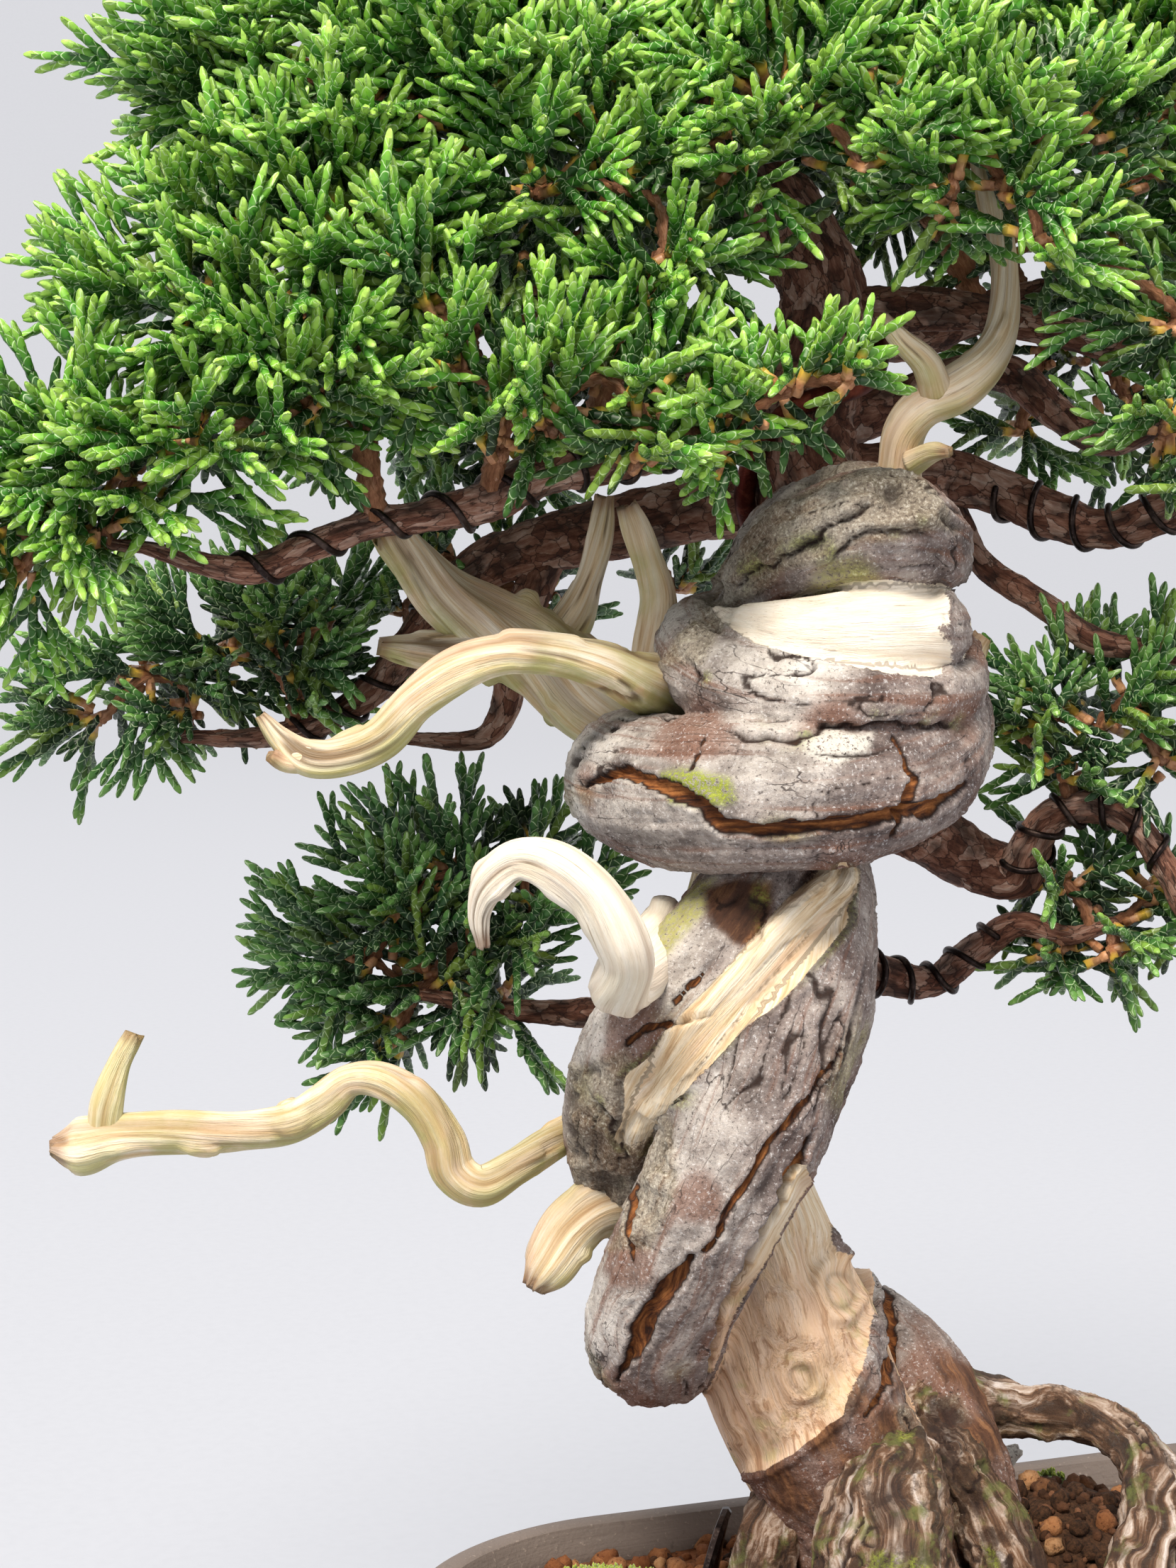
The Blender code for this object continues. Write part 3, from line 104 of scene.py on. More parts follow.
# Centrelines of the strands: a row of x y z radius for each point.
STRANDS = {
    "core": (DEAD,
        "-25.5 17 56 13, -29.5 17 66.5 13, -35.5 15 79 13.5, -40 13 91 13.5, -43.5 15 102 11.5, "
        "-47 17 113 10.5, -48 19 124 11.5, -46 19 135.5 12, -44 18 147 11.5, -41.5 18 158.5 11, "
        "-39 17 169.5 12.5, -34.5 17 181 12.5, -30 19 192 10.5, -29 21 201 8.5"),
    "vein_front": (BARK,
        "-12 17 63 7.5, -14.5 19 71.5 7.5, -19.5 27 80 8, -31 37 85.5 9, -46.5 35 88.5 10, "
        "-56.5 19 90.5 10, -58.5 5 93 10, -56.5 -2 102 10, -51.5 -6 114 10.5, -46.5 -6 124.5 11, "
        "-42.5 -4 135 10.5, -38.5 1 144 9.5, -36 9 151.5 8.5, -35.5 19 157 8"),
    "vein_left": (BARK,
        "-56.5 25 104 8, -62.5 15 113.5 7.5, -63.5 7 124 8, -60 0 134.5 9, -54 -3 143.5 9, -48.5 -1 151 8, "
        "-44 7 157.5 7.5, -41 17 163 7.5"),
    "shari_strip": (DEAD,
        "-62.5 0 121 1.5, -59.5 -7 128.5 2.5, -54.5 -12 136.5 3.5, -47 -11 145 3.5, -40.5 -6 151.5 3.5, "
        "-34.5 1 156 2.5, -32.5 5 158.5 1.5"),
    "vein_right_edge": (BARK,
        "-41 27 110.5 5.5, -37 25 123 6.5, -34 21 135 7, -33 17 147 6.5, -34.5 17 156 6.5"),
    "roll_low": (BARK,
        "-55.5 31 173 7.5, -61 19 171 9.5, -60.5 7 170.5 10, -54 -3 170 10.5, -46 -8 170.5 10.5, "
        "-37.5 -9 170.5 10, -30 -5 171.5 10, -23 3 174 9.5, -19 15 178.5 8.5, -20 27 182.5 8, "
        "-27.5 35 184.5 8"),
    "roll_mid": (BARK,
        "-47.5 29 191.5 6, -52 17 190.5 6, -52 5 187.5 6.5, -46 -3 184 6.5, -37.5 -7 182.5 6, "
        "-29 -7 182.5 5.5, -21.5 -1 182.5 4.5, -16.5 9 184 4, -15 23 187.5 4"),
    "shari_lens": (DEAD,
        "-49 5 193 2, -44 -1 192 4, -37.5 -4 191.5 5.5, -30 -3 191.5 6.5, -23.5 3 191.5 6.5, "
        "-20 11 192 5.5"),
    "lobe_top": (BARK,
        "-46 13 195.5 4, -41 7 201.5 6, -34.5 1 205 7.5, -27.5 1 206 8, -21.5 7 204 6.5, -17.5 15 201.5 4"),
    "lobe_back": (BARK,
        "-45 27 196 5, -39.5 31 203 7, -32.5 33 207.5 7.5, -27.5 25 208.5 7"),
    "trunk_top": (FLAKY,
        "-29 35 203 8, -34 39 210 8.5, -36.5 41 219.5 8.5, -34 43 230 7.5, -33 43 240.5 6.5, "
        "-37.5 41 250.5 6, -45 37 260.5 5, -50.5 33 270 4.5, -53.5 29 279 3.5, -54.5 25 289.5 2.5, "
        "-55.5 23 297.5 1.5"),
    "jin_low_long": (DEAD,
        "-69 17 120 2, -73.5 11 119 2.5, -78.5 5 117 2.5, -83 3 115 3, -86.5 3 117 3, -88 3 121.5 3, "
        "-91.5 3 126.5 3, -96.5 3 129.5 3, -101 3 129.5 2.5, -104.5 3 126.5 3, -109.5 3 123.5 3, "
        "-117 3 122.5 3, -125.5 2 122.5 3, -133 1 122 3, -138.5 1 120.5 3.5, -142 1 120.5 1.5"),
    "jin_low_spur": (DEAD,
        "-135 1 122.5 2, -134.5 1 127 2, -133 2 132 1.5, -131 3 136 1.5"),
    "jin_hook": (DEAD,
        "-57 3 151 3.5, -61 -9 147 4, -64 -17 145.5 4, -63 -23 150.5 3.5, -65 -25 155.5 3.5, -68 -26 160 3, "
        "-72.5 -26 163 3, -77 -25 163.5 2.5, -80.5 -24 160.5 2.5, -82 -23 156.5 1.5, -81.5 -22 152 1"),
    "jin_mid_long": (DEAD,
        "-56 13 183.5 5, -61 3 185 4, -66.5 -2 187.5 3, -73.5 -5 189 2.5, -80 -7 189 2.5, -85.5 -8 187 3, "
        "-91 -9 183 3, -95.5 -9 178 3, -101 -9 175.5 3, -105.5 -9 175.5 3, -109 -9 178 2, -111.5 -9 181 1"),
    "jin_mid_fork": (DEAD,
        "-104.5 -9 175.5 2, -108 -10 175 1.5, -110 -11 176 1"),
    "jin_antler": (DEAD,
        "-59 29 178 6.5, -67 31 181 7, -75 33 187 6.5, -83 33 191.5 5.5, -89.5 32 196 4.5, "
        "-94 31 201.5 3.5, -97.5 30 206 3"),
    "jin_antler_prong": (DEAD,
        "-80.5 33 189 5, -87.5 33 188 3.5, -93.5 33 188 2.5, -98.5 33 188.5 1.5"),
    "jin_prong_a": (DEAD,
        "-74 33 188 3, -70.5 33 192.5 3, -68 33 198.5 2, -66.5 33 204 2, -65.5 33 210.5 1.5"),
    "jin_prong_b": (DEAD,
        "-58.5 19 186.5 3, -58 19 192 3, -58 19 196.5 2.5, -59.5 19 201.5 2, -61 19 205.5 2, "
        "-62.5 19 209 1.5"),
    "jin_stub": (DEAD,
        "-63.5 13 110.5 5, -68 9 109.5 4, -71 7 107 4, -73.5 5 103 3.5, -75.5 5 100 2"),
    "jin_right_stub": (DEAD,
        "-16.5 27 186 3.5, -13 27 187.5 2.5, -11 27 190 2"),
    "jin_top": (DEAD,
        "-24 21 209.5 4, -24 19 215 3.5, -23.5 18 219.5 3.5, -21 17 223 3.5, -16.5 17 225.5 3.5, "
        "-12 18 229.5 3, -9.5 20 234.5 2.5, -9 21 242 2, -10 22 249.5 2, -12 23 258.5 2, -13.5 24 268.5 2, "
        "-15.5 25 276 2, -17 25 283 1.5"),
    "jin_top_spur_a": (DEAD,
        "-19 16 225 2.5, -21 14 229 2, -24.5 13 232 1.5, -27 13 235 1"),
    "jin_top_spur_b": (DEAD,
        "-22.5 15 215 2, -20 12 216.5 1.5, -18 10 216.5 1"),
    "root_front": (ROOT,
        "-24.5 7 72 7, -26.5 -1 68 9, -27.5 -7 62.5 10, -28 -13 56 11.5"),
    "root_left": (ROOT,
        "-35 13 69 5.5, -40.5 13 64.5 5, -42.5 11 58 5, -44.5 9 51 5"),
    "root_arch": (ROOT,
        "-17.5 21 77 6, -11 25 77 5, -4 27 75 4, 4 25 75 4, 10 19 74 4, 12.5 11 71 4, 11 1 67 4.5, "
        "7 -9 62 5, 3.5 -17 56.5 5"),
    "root_right_inner": (ROOT,
        "-17 15 73 5.5, -11.5 13 65.5 5, -7.5 7 57.5 5, -6.5 -1 51.5 4.5"),
    "root_back": (ROOT,
        "-19.5 31 64 7, -17 38 54 6.5, -15 43 45 5"),
    "branch_left_front": (FLAKY,
        "-40 40 224 5, -50 34 222 4.5, -58 23 218.5 4.5, -66 13 216 4, -73.5 7 214 3.5, -82 3 209.5 3, "
        "-88 1 208 2.5, -96.5 -1 206.5 2, -105 -3 203.5 2, -112 -5 200.5 2, -119 -7 201 1.5, "
        "-125.5 -7 203 1, -131.5 -7 204 0.5"),
    "branch_left_back": (FLAKY,
        "-38 47 210 5.5, -50 51 209 5, -62 53 206.5 5, -73 55 204 4.5, -82.5 55 201 4, -89.5 55 195.5 3.5, "
        "-95 55 188.5 3, -102 55 180.5 2.5, -110.5 55 175.5 2, -120.5 55 173.5 1.5, -130.5 55 173.5 1"),
    "branch_left_sub": (FLAKY,
        "-74 55 203 3, -77.5 55 194.5 3, -80.5 55 187 2.5, -80.5 55 180 2.5, -83 55 174.5 2, "
        "-87.5 55 173 1.5, -96 55 173.5 1"),
    "branch_low_left": (FLAKY,
        "-50.5 31 137 3.5, -58.5 39 134.5 3, -65.5 43 132.5 2.5, -74 45 132 2, -83.5 47 132.5 1.5, "
        "-93.5 47 134.5 1"),
    "branch_right_low": (FLAKY,
        "-35 26 165 5, -25 33 163.5 4.5, -17.5 39 160.5 5, -10 41 156 4.5, -3.5 39 154.5 4, "
        "-1.5 35 159.5 3, 1 33 163.5 2.5, 7 31 165 2.5, 12.5 29 162.5 2, 17 27 156 2, 20 25 148.5 1.5"),
    "branch_right_under": (FLAKY,
        "-39 26 143 3.5, -32 33 142.5 3, -23 39 138.5 3, -15.5 41 137.5 2.5, -9.5 41 142 2.5, "
        "-3 39 146.5 2, 4 37 145 1.5, 10.5 35 147 1"),
    "branch_right_mid": (FLAKY,
        "-30 41 214 4.5, -21 43 214.5 4, -13.5 45 214 4, -6.5 43 211.5 3.5, 1 39 208 3.5, 8.5 35 206 3, "
        "15.5 31 208 3, 24 27 211 2.5, 32.5 25 210 1.5, 41 23 211 1"),
    "branch_right_drop": (FLAKY,
        "-12.5 47 209 2, -8.5 43 200.5 2, -0.5 39 195 2, 7 35 189.5 2, 15.5 33 188 1.5, 23 31 186 1.5, "
        "29.5 29 182.5 1"),
    "branch_right_up": (FLAKY,
        "-32 43 221 4, -23 47 224 3.5, -12 49 229 3, -4 47 229 3, 2.5 43 223 2.5, 9 39 219 2.5, "
        "16.5 35 221.5 2, 23.5 31 224.5 1.5, 25 20 226 1.5, 22 12 228 1"),
    "branch_back_left": (FLAKY,
        "-36 43 224 4.5, -44 54 227 4, -54 64 228 3.5, -64 71 230 3, -76 76 232 2.5, -88 78 231 2, "
        "-98 78 233 1.5"),
    "branch_back_right": (FLAKY,
        "-34 44 232 4.5, -26 56 235 4, -16 64 236 3.5, -6 68 240 3, 4 70 243 2.5, 14 68 245 2, "
        "22 66 248 1.5"),
    "branch_right_high": (FLAKY,
        "-31.5 43 238 4, -21 43 238.5 3.5, -11 41 238 3, -2 39 236 2.5, 7 35 233.5 2.5, 15.5 31 232.5 2, "
        "23.5 27 235.5 1.5"),
}

# Clumps of each foliage pad: (x, y, z, radius).
PADS = {
    "left_top": "-117 13 266 12, -105 13 272 12, -111 23 284 11, -94 13 278 12, -88 5 266 11, -98 3 261 9",
    "left_upper": (
        "-123 5 239 11, -113 8 249 11, -101 3 251 11, -94 -1 244 10, -115 -5 234 10, "
        "-104 -7 236 10"),
    "left_front": (
        "-134 -5 223 9, -140 -2 212 9, -151 3 210 9, -129 -9 214 9, -118 -11 220 9, -108 -11 222 8, "
        "-145 -2 202 7, -133 -7 206 6, -102 -9 227 9"),
    "mid_front": (
        "-89 -7 238 10, -87 -11 229 9, -78 -11 223 9, -81 -11 217 7, -66 -7 229 9, -59 -11 223 8, "
        "-61 -13 215 6, -72 -13 219 7"),
    "mid_tip": "-51 -11 223 6, -48 -11 220 5, -41 -13 226 5, -34 -13 226 3, -51 -11 216 4",
    "mid_upper": (
        "-81 8 265 11, -72 13 273 12, -65 5 264 10, -77 1 253 10, -62 3 253 8, -56 -1 244 8, "
        "-59 -3 237 6"),
    "center_front": (
        "-44 8 270 10, -37 3 262 9, -52 3 261 8, -28 8 267 9, -30 1 256 8, -46 13 278 10, "
        "-48 1 254 6"),
    "right_front": "-19 3 261 10, -14 1 253 9, -6 3 262 8, -21 -1 252 7, -7 -1 244 6, 0 5 261 6",
    "right_edge": "11 8 237 8, 16 8 227 8, 16 5 215 7, 10 5 220 6, 20 13 242 9, 21 8 206 6",
    "right_upper": "6 28 275 11, 15 23 267 11, 19 23 278 11, 13 33 258 9, 24 23 257 9, 3 33 288 10",
    "back_right": "4 63 275 11, 13 63 252 11, 7 68 236 10, 18 63 227 10, -3 73 256 9, 1 73 223 7",
    "back_left": "-76 73 251 13, -89 73 243 13, -64 78 234 10, -99 73 227 12, -83 78 223 9, -60 73 262 13",
    "mid_left_rear": (
        "-145 55 178 7, -138 57 186 9, -131 55 178 6, -127 58 190 10, -115 57 188 9, -112 57 181 7, "
        "-107 57 193 8"),
    "small_rear": "-84 68 197 7, -74 71 195 6, -98 65 194 6, -53 71 198 5, -92 68 204 6",
    "low_left_rear": (
        "-104 49 142 10, -97 49 151 10, -89 51 157 8, -93 49 137 10, -98 49 130 8, -82 51 147 10, "
        "-82 49 134 9, -76 53 157 6, -72 51 149 7"),
    "right_mid": "0 35 182 7, -4 33 176 5, 7 35 179 8, 13 33 184 7, 18 31 173 6, 2 33 170 4, 23 31 184 6",
    "right_low": "3 37 155 6, 9 35 149 7, 11 35 143 5, 17 35 154 6, 1 37 144 4, 24 35 149 6",
    "apex_left": "-87 18 288 12, -75 23 295 12, -96 33 294 12, -81 38 306 11, -87 58 293 12, -69 48 310 11",
    "apex": "-58 18 296 12, -47 33 306 12, -61 38 312 11, -44 13 290 11, -52 58 318 11, -60 68 305 13",
    "apex_right": "-27 18 288 12, -17 23 284 11, -12 33 297 10, -26 38 303 11, -16 68 302 13, -3 43 290 11",
    "crown_back": "-71 88 285 14, -48 93 286 14, -25 91 286 14, -37 88 301 13, -39 93 270 13, -19 88 267 12",
}

BODY = [name for name in STRANDS if not name.startswith(("branch_", "jin_", "trunk_top"))]
JINS = [name for name in STRANDS if name.startswith("jin_")]
STEMS = [name for name in STRANDS if name.startswith("branch_")]

# Lines and patches worked into the trunk's front, drawn as seen from there: x z for each point.
CRACKS = {
    "belt": (1.5, 1.3, "-69 170, -63 172, -58 170, -51.5 167, -49 164, -44 163.5, -37 164, -30.5 164.5, "
        "-25 165.5, -20 166.5, -14.5 170"),
    "right": (0.8, 0.9, "-24.5 176.5, -23 173, -22 170.5, -25.5 161.5"),
    "small": (0.5, 0.6, "-51.5 176.5, -53.5 172"),
    "low": (0.6, 0.8, "-32 132, -36.5 125.5, -41 120, -44 115, -47.5 109.5, -50 104.5, -53 102"),
    "wide": (2.6, 1.5, "-53 102, -58 95.5, -61 89.5, -64 84"),
    "left": (0.5, 0.6, "-61 113.5, -61.5 107.5, -62 101"),
    "crevice": (1.2, 1.6, "-36 120.5, -39.5 112.5, -43.5 104.5, -46.5 98, -49 92, -51 85, -53 79"),
    "middle": (1, 1, "-51 137, -60 135, -63 132.5"),
    "short": (0.5, 0.6, "-51.5 143, -55.5 139"),
    "rim": (1, 0.9, "-32 108, -27.5 103, -25 97, -24.5 91.5, -25 84, -28 79"),
}
SHARI_STRIP = read_rows("-32 158.5, -34.5 151.5, -40 144.5, -47 138, -54 131.5, -60 126.5, -63 120")
PATCHES = {
    "dead": (
        "-37 115.5, -34.5 110, -32.5 103, -28 99.5, -27 94, -28 87.5, -30.5 82, -31.5 79, -38.5 73.5, "
        "-42.5 71, -47 70.5, -48 74.5, -52 78.5, -51 85, -49 92, -46.5 98, -43.5 104.5, -39.5 112.5",
        "-48 192.5, -45 194.5, -40.5 196, -37 198, -30 198.5, -19.5 198.5, -16.5 199, -20 194, -19 189, "
        "-18.5 185, -25.5 185.5, -33 186.5, -39 189, -45 190",
    ),
    "algae": (
        "-63 151.5, -61 155.5, -56 156.5, -50 156.5, -52 151.5, -56 146.5, -60 142.5, -62.5 145.5",
    ),
    "peel": (
        "-51.5 155.5, -47 156.5, -42 156, -42 151.5, -44 146, -47 147.5, -50 150.5",
        "-20 80, -14.5 80.5, -15 74.5, -17 70.5, -19.5 73",
    ),
    "moss": (
        "-57.5 171.5, -52.5 172, -48 170.5, -47 167.5, -51 166.5, -56 167.5",
    ),
    "gnarl": (
        "-71 130, -62 132, -56 123, -55 112, -59 103, -66 103, -72 112",
        "-59 186, -51 197, -45 206, -36 214, -22 214, -16 206, -30 204, -40 200, -47 195, -52 187",
        "-24 80, -15 82, -10 72, -13 62, -22 62",
    ),
    "lichen": (
        "-38.5 176.5, -34 177.5, -28 177, -28.5 174, -33 172.5, -38 173.5",
    ),
}
KNOTS = ((-31.5, 97.5, 3.6), (-37.0, 83.5, 2.6))
# Edges where older bark overlaps the next layer: how far each stands up, then its line, raised on the left.
SHELVES = (
    (1.3, "-50 196.8, -46 199.5, -41 202.5, -36 205, -30 208.5, -26 211"),
    (0.8, "-51.2 178.3, -44.6 177, -38.6 176.3, -34.1 178.3, -26.8 178.7, -20.2 178.3, -13.6 179.6"),
    (0.8, "-36 199.4, -33.4 203.4, -29.4 206, -22.8 206, -17.5 204"),
    (0.7, "-55.8 190.2, -51.2 184.9, -53.2 180.3"),
    (0.9, "-50.8 125.7, -55.6 123.8, -61.4 120.9"),
    (0.7, "-70 128, -64 124, -62 118, -65 112"),
    (0.6, "-47 157, -42 153.5, -43 147, -47 145"),
)


def bell(values: Rows, middle: float, width: float) -> Rows:
    """A bump of height 1 round one value."""
    return np.exp(-(((values - middle) / width) ** 2))


def linear(hex_colour: str) -> tuple[float, float, float, float]:
    """Turn an sRGB hex colour into linear RGBA.

    Args:
        hex_colour: six hex digits after a hash sign.

    Returns:
        Linear red, green, blue and an alpha of one.
    """
    parts = [int(hex_colour[i : i + 2], 16) / 255.0 for i in (1, 3, 5)]
    rgb = [c / 12.92 if c <= 0.04045 else ((c + 0.055) / 1.055) ** 2.4 for c in parts]
    return (rgb[0], rgb[1], rgb[2], 1.0)


def add_node(tree: NodeTree, kind: str, settings: dict | None = None,
             links: dict | None = None) -> Node:
    """Add one node, set it up and wire its inputs.

    Args:
        tree: the node tree it goes in.
        kind: Blender's name of the node type.
        settings: values by input name, input number or attribute name.
        links: output sockets by input name or number.

    Returns:
        The new node.
    """
    node = tree.nodes.new("ShaderNode" + kind)
    for key, value in (settings or {}).items():
        if isinstance(key, int) or key in node.inputs:
            node.inputs[key].default_value = value
        else:
            setattr(node, key, value)
    for key, socket in (links or {}).items():
        tree.links.new(socket, node.inputs[key])
    return node


def fill_ramp(ramp: Node, stops: Sequence[tuple[float, str]]) -> Node:
    """Set a colour ramp's stops.

    Args:
        ramp: the colour ramp node.
        stops: positions and sRGB hex colours, in order.

    Returns:
        The same node.
    """
    elements = ramp.color_ramp.elements
    while len(elements) < len(stops):
        elements.new(0.5)
    for element, (place, colour) in zip(elements, stops):
        element.position = place
        element.color = linear(colour)
    return ramp


def noise(points: Rows, seed: int = 0) -> Rows:
    """Smooth lattice noise.

    Args:
        points: rows of three coordinates, one cell per unit.
        seed: picks the pattern.

    Returns:
        One value per row, from -1 to 1.
    """
    base = np.floor(points)
    part = points - base
    soft = part * part * (3.0 - 2.0 * part)
    cell = base.astype(np.int64)
    total = np.zeros(len(points))
    for step in np.ndindex(2, 2, 2):
        x, y, z = ((cell + step) * (73856093, 19349663, 83492791)).T
        mixed = (x ^ y ^ z ^ (seed * 668265263)) & 0xFFFFFFFF
        for shift, factor in ((15, 739982445), (12, 695872825)):
            mixed = ((mixed ^ (mixed >> shift)) * factor) & 0xFFFFFFFF
        a, b, c = np.where(step, soft, 1.0 - soft).T
        total += ((mixed ^ (mixed >> 16)) / 2147483648.0 - 1.0) * (a * b * c)
    return total


def fractal(points: Rows, octaves: int = 3, seed: int = 0) -> Rows:
    """Sum of finer and weaker noises.

    Args:
        points: rows of three coordinates.
        octaves: how many layers.
        seed: picks the pattern.

    Returns:
        One value per row, roughly from -1 to 1.
    """
    total = np.zeros(len(points))
    for octave in range(octaves):
        total += noise(points * 2.0**octave, seed + 17 * octave) / 2.0**octave
    return total / 1.6


def ease(low: float, high: float, values: Rows) -> Rows:
    """Ease from 0 below low to 1 above high; low may be the larger."""
    share = np.clip((values - low) / (high - low), 0.0, 1.0)
    return share * share * (3.0 - 2.0 * share)


def smooth_path(points: Sequence, step: float) -> Rows:
    """Catmull-Rom curve through rows of numbers.

    Args:
        points: rows whose first three numbers are a place.
        step: spacing of the samples.

    Returns:
        The sampled rows.
    """
    pts = np.array(points, float)
    ends = np.vstack([2 * pts[0] - pts[1], pts, 2 * pts[-1] - pts[-2]])
    out = []
    for a, b, c, d in zip(ends, ends[1:], ends[2:], ends[3:]):
        count = max(1, int(round(norm((c - b)[:3]) / step)))
        for t in np.arange(count) / count:
            out.append(0.5 * (2 * b + (c - a) * t + (2 * a - 5 * b + 4 * c - d) * t**2
                              + (3 * b - a - 3 * c + d) * t**3))
    out.append(pts[-1])
    return np.array(out)


def frames_along(path: Rows) -> tuple[Rows, Rows, Rows]:
    """Tangents and two side directions along a path, turned as little as possible.

    Args:
        path: rows that start with a place.

    Returns:
        Tangents, first sides and second sides.
    """
    tangents = np.gradient(path[:, :3], axis=0)
    tangents /= np.maximum(norm(tangents, axis=1), 1e-9)[:, None]
    side = np.cross(tangents[0], (0.0, 0.0, 1.0))
    if norm(side) < 0.2:
        side = np.cross(tangents[0], (1.0, 0.0, 0.0))
    sides = []
    for tangent in tangents:
        side = side - tangent * (side @ tangent)
        side = side / norm(side)
        sides.append(side)
    first = np.array(sides)
    return tangents, first, np.cross(tangents, first)


def strand_path(name: str, step: float) -> Rows:
    """The smoothed centreline of one strand.

    Args:
        name: the strand.
        step: spacing of its points.

    Returns:
        Rows of x, y, z, radius.
    """
    path = smooth_path(read_rows(STRANDS[name][1]), step)
    path[:, 3] = np.maximum(path[:, 3], 0.6)
    return path


def unit(ways: Rows) -> Rows:
    """The same directions, each one long."""
    return ways / norm(ways, axis=-1)[..., None]


def seed_of(name: str) -> int:
    """A number of its own for each name, for chance that never changes."""
    return sum(map(ord, name))


def stand(name: str, data: bpy.types.ID) -> Object:
    """Put something in the scene.

    Args:
        name: the object's name.
        data: its mesh, lamp or camera.

    Returns:
        The object.
    """
    obj = bpy.data.objects.new(name, data)
    bpy.context.scene.collection.objects.link(obj)
    return obj


def sum_of_steps(path: Rows) -> Rows:
    """How far along a path each of its points is."""
    return np.concatenate([[0.0], np.cumsum(norm(np.diff(path[:, :3], axis=0), axis=1))])


class Draft:
    """Points, quads and painted values that become one piece."""

    def __init__(self) -> None:
        """Start empty."""
        self.points: list[Rows] = []
        self.quads: list[Rows] = []
        self.paint: dict[str, list[Rows]] = {}
        self.corners: dict[str, list[Rows]] = {}
        self.count = 0

    def add(self, points: Rows, quads: Rows, paint: dict[str, Rows] | None = None,
            corners: dict[str, Rows] | None = None) -> None:
        """Add a run of points and the quads between them.

        Args:
            points: rows of x, y, z in millimetres.
            quads: rows of four indices into these points.
            paint: values by name, one row per point.
            corners: values by name, four rows per quad.
        """
        self.points.append(points)
        self.quads.append(quads + self.count)
        self.count += len(points)
        for name, values in (paint or {}).items():
            self.paint.setdefault(name, []).append(values)
        for name, values in (corners or {}).items():
            self.corners.setdefault(name, []).append(values)

    def piece(self, name: str, material: Material, slot: str, replaces: Sequence[str] = (),
              in_tree: bool = True) -> Object:
        """Make the object, shade it smooth and tie it to the row.

        Args:
            name: the piece's name.
            material: its finish.
            slot: the record's material slot; not used.
            replaces: solids of the row that it stands for.
            in_tree: whether its points are in the tree's own frame.

        Returns:
            The new object.
        """
        points = np.concatenate(self.points)
        quads = np.concatenate(self.quads)
        if in_tree:
            points = points @ INTO_ROW
        mesh = bpy.data.meshes.new(name)
        mesh.vertices.add(len(points))
        mesh.vertices.foreach_set("co", (points * MM).astype(np.float32).ravel())
        mesh.loops.add(len(quads) * 4)
        mesh.loops.foreach_set("vertex_index", quads.astype(np.int32).ravel())
        mesh.polygons.add(len(quads))
        mesh.polygons.foreach_set("loop_start", np.arange(0, len(quads) * 4, 4, dtype=np.int32))
        mesh.update(calc_edges=True)
        for domain, painted in (("POINT", self.paint), ("CORNER", self.corners)):
            for key, runs in painted.items():
                values = np.concatenate(runs).astype(np.float32)
                if values.ndim == 2 and values.shape[1] == 2:
                    mesh.uv_layers.new(name=key).uv.foreach_set("vector", values.ravel())
                    continue
                kind, field_name = ("FLOAT_VECTOR", "vector") if values.ndim == 2 else ("FLOAT", "value")
                layer = mesh.attributes.new(key, kind, domain)
                layer.data.foreach_set(field_name, values.ravel())
        mesh.materials.append(material)
        mesh.shade_smooth()
        obj = stand(name, mesh)
        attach(obj, "root")
        if replaces:
            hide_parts(*replaces)
        log.info("%s: %d points, %d quads", name, len(points), len(quads))
        return obj


def ring_quads(rings: int, sides: int, closed_ends: bool = True) -> Rows:
    """Quads of a tube whose points run ring by ring.

    Args:
        rings: how many rings.
        sides: points in each, an even number.
        closed_ends: whether both ends are capped.

    Returns:
        Rows of four indices, facing out.
    """
    k, j = np.meshgrid(np.arange(rings - 1), np.arange(sides), indexing="ij")
    k, j = k.ravel() * sides, j.ravel()
    nxt = (j + 1) % sides
    quads = [np.stack([k + j, k + nxt, k + sides + nxt, k + sides + j], axis=1)]
    if closed_ends:
        i = np.arange(sides // 2 - 1)
        last = (rings - 1) * sides
        quads.append(np.stack([sides - 1 - i, sides - 2 - i, i + 1, i], axis=1))
        quads.append(np.stack([last + i, last + i + 1, last + sides - 2 - i, last + sides - 1 - i], axis=1))
    return np.concatenate(quads)


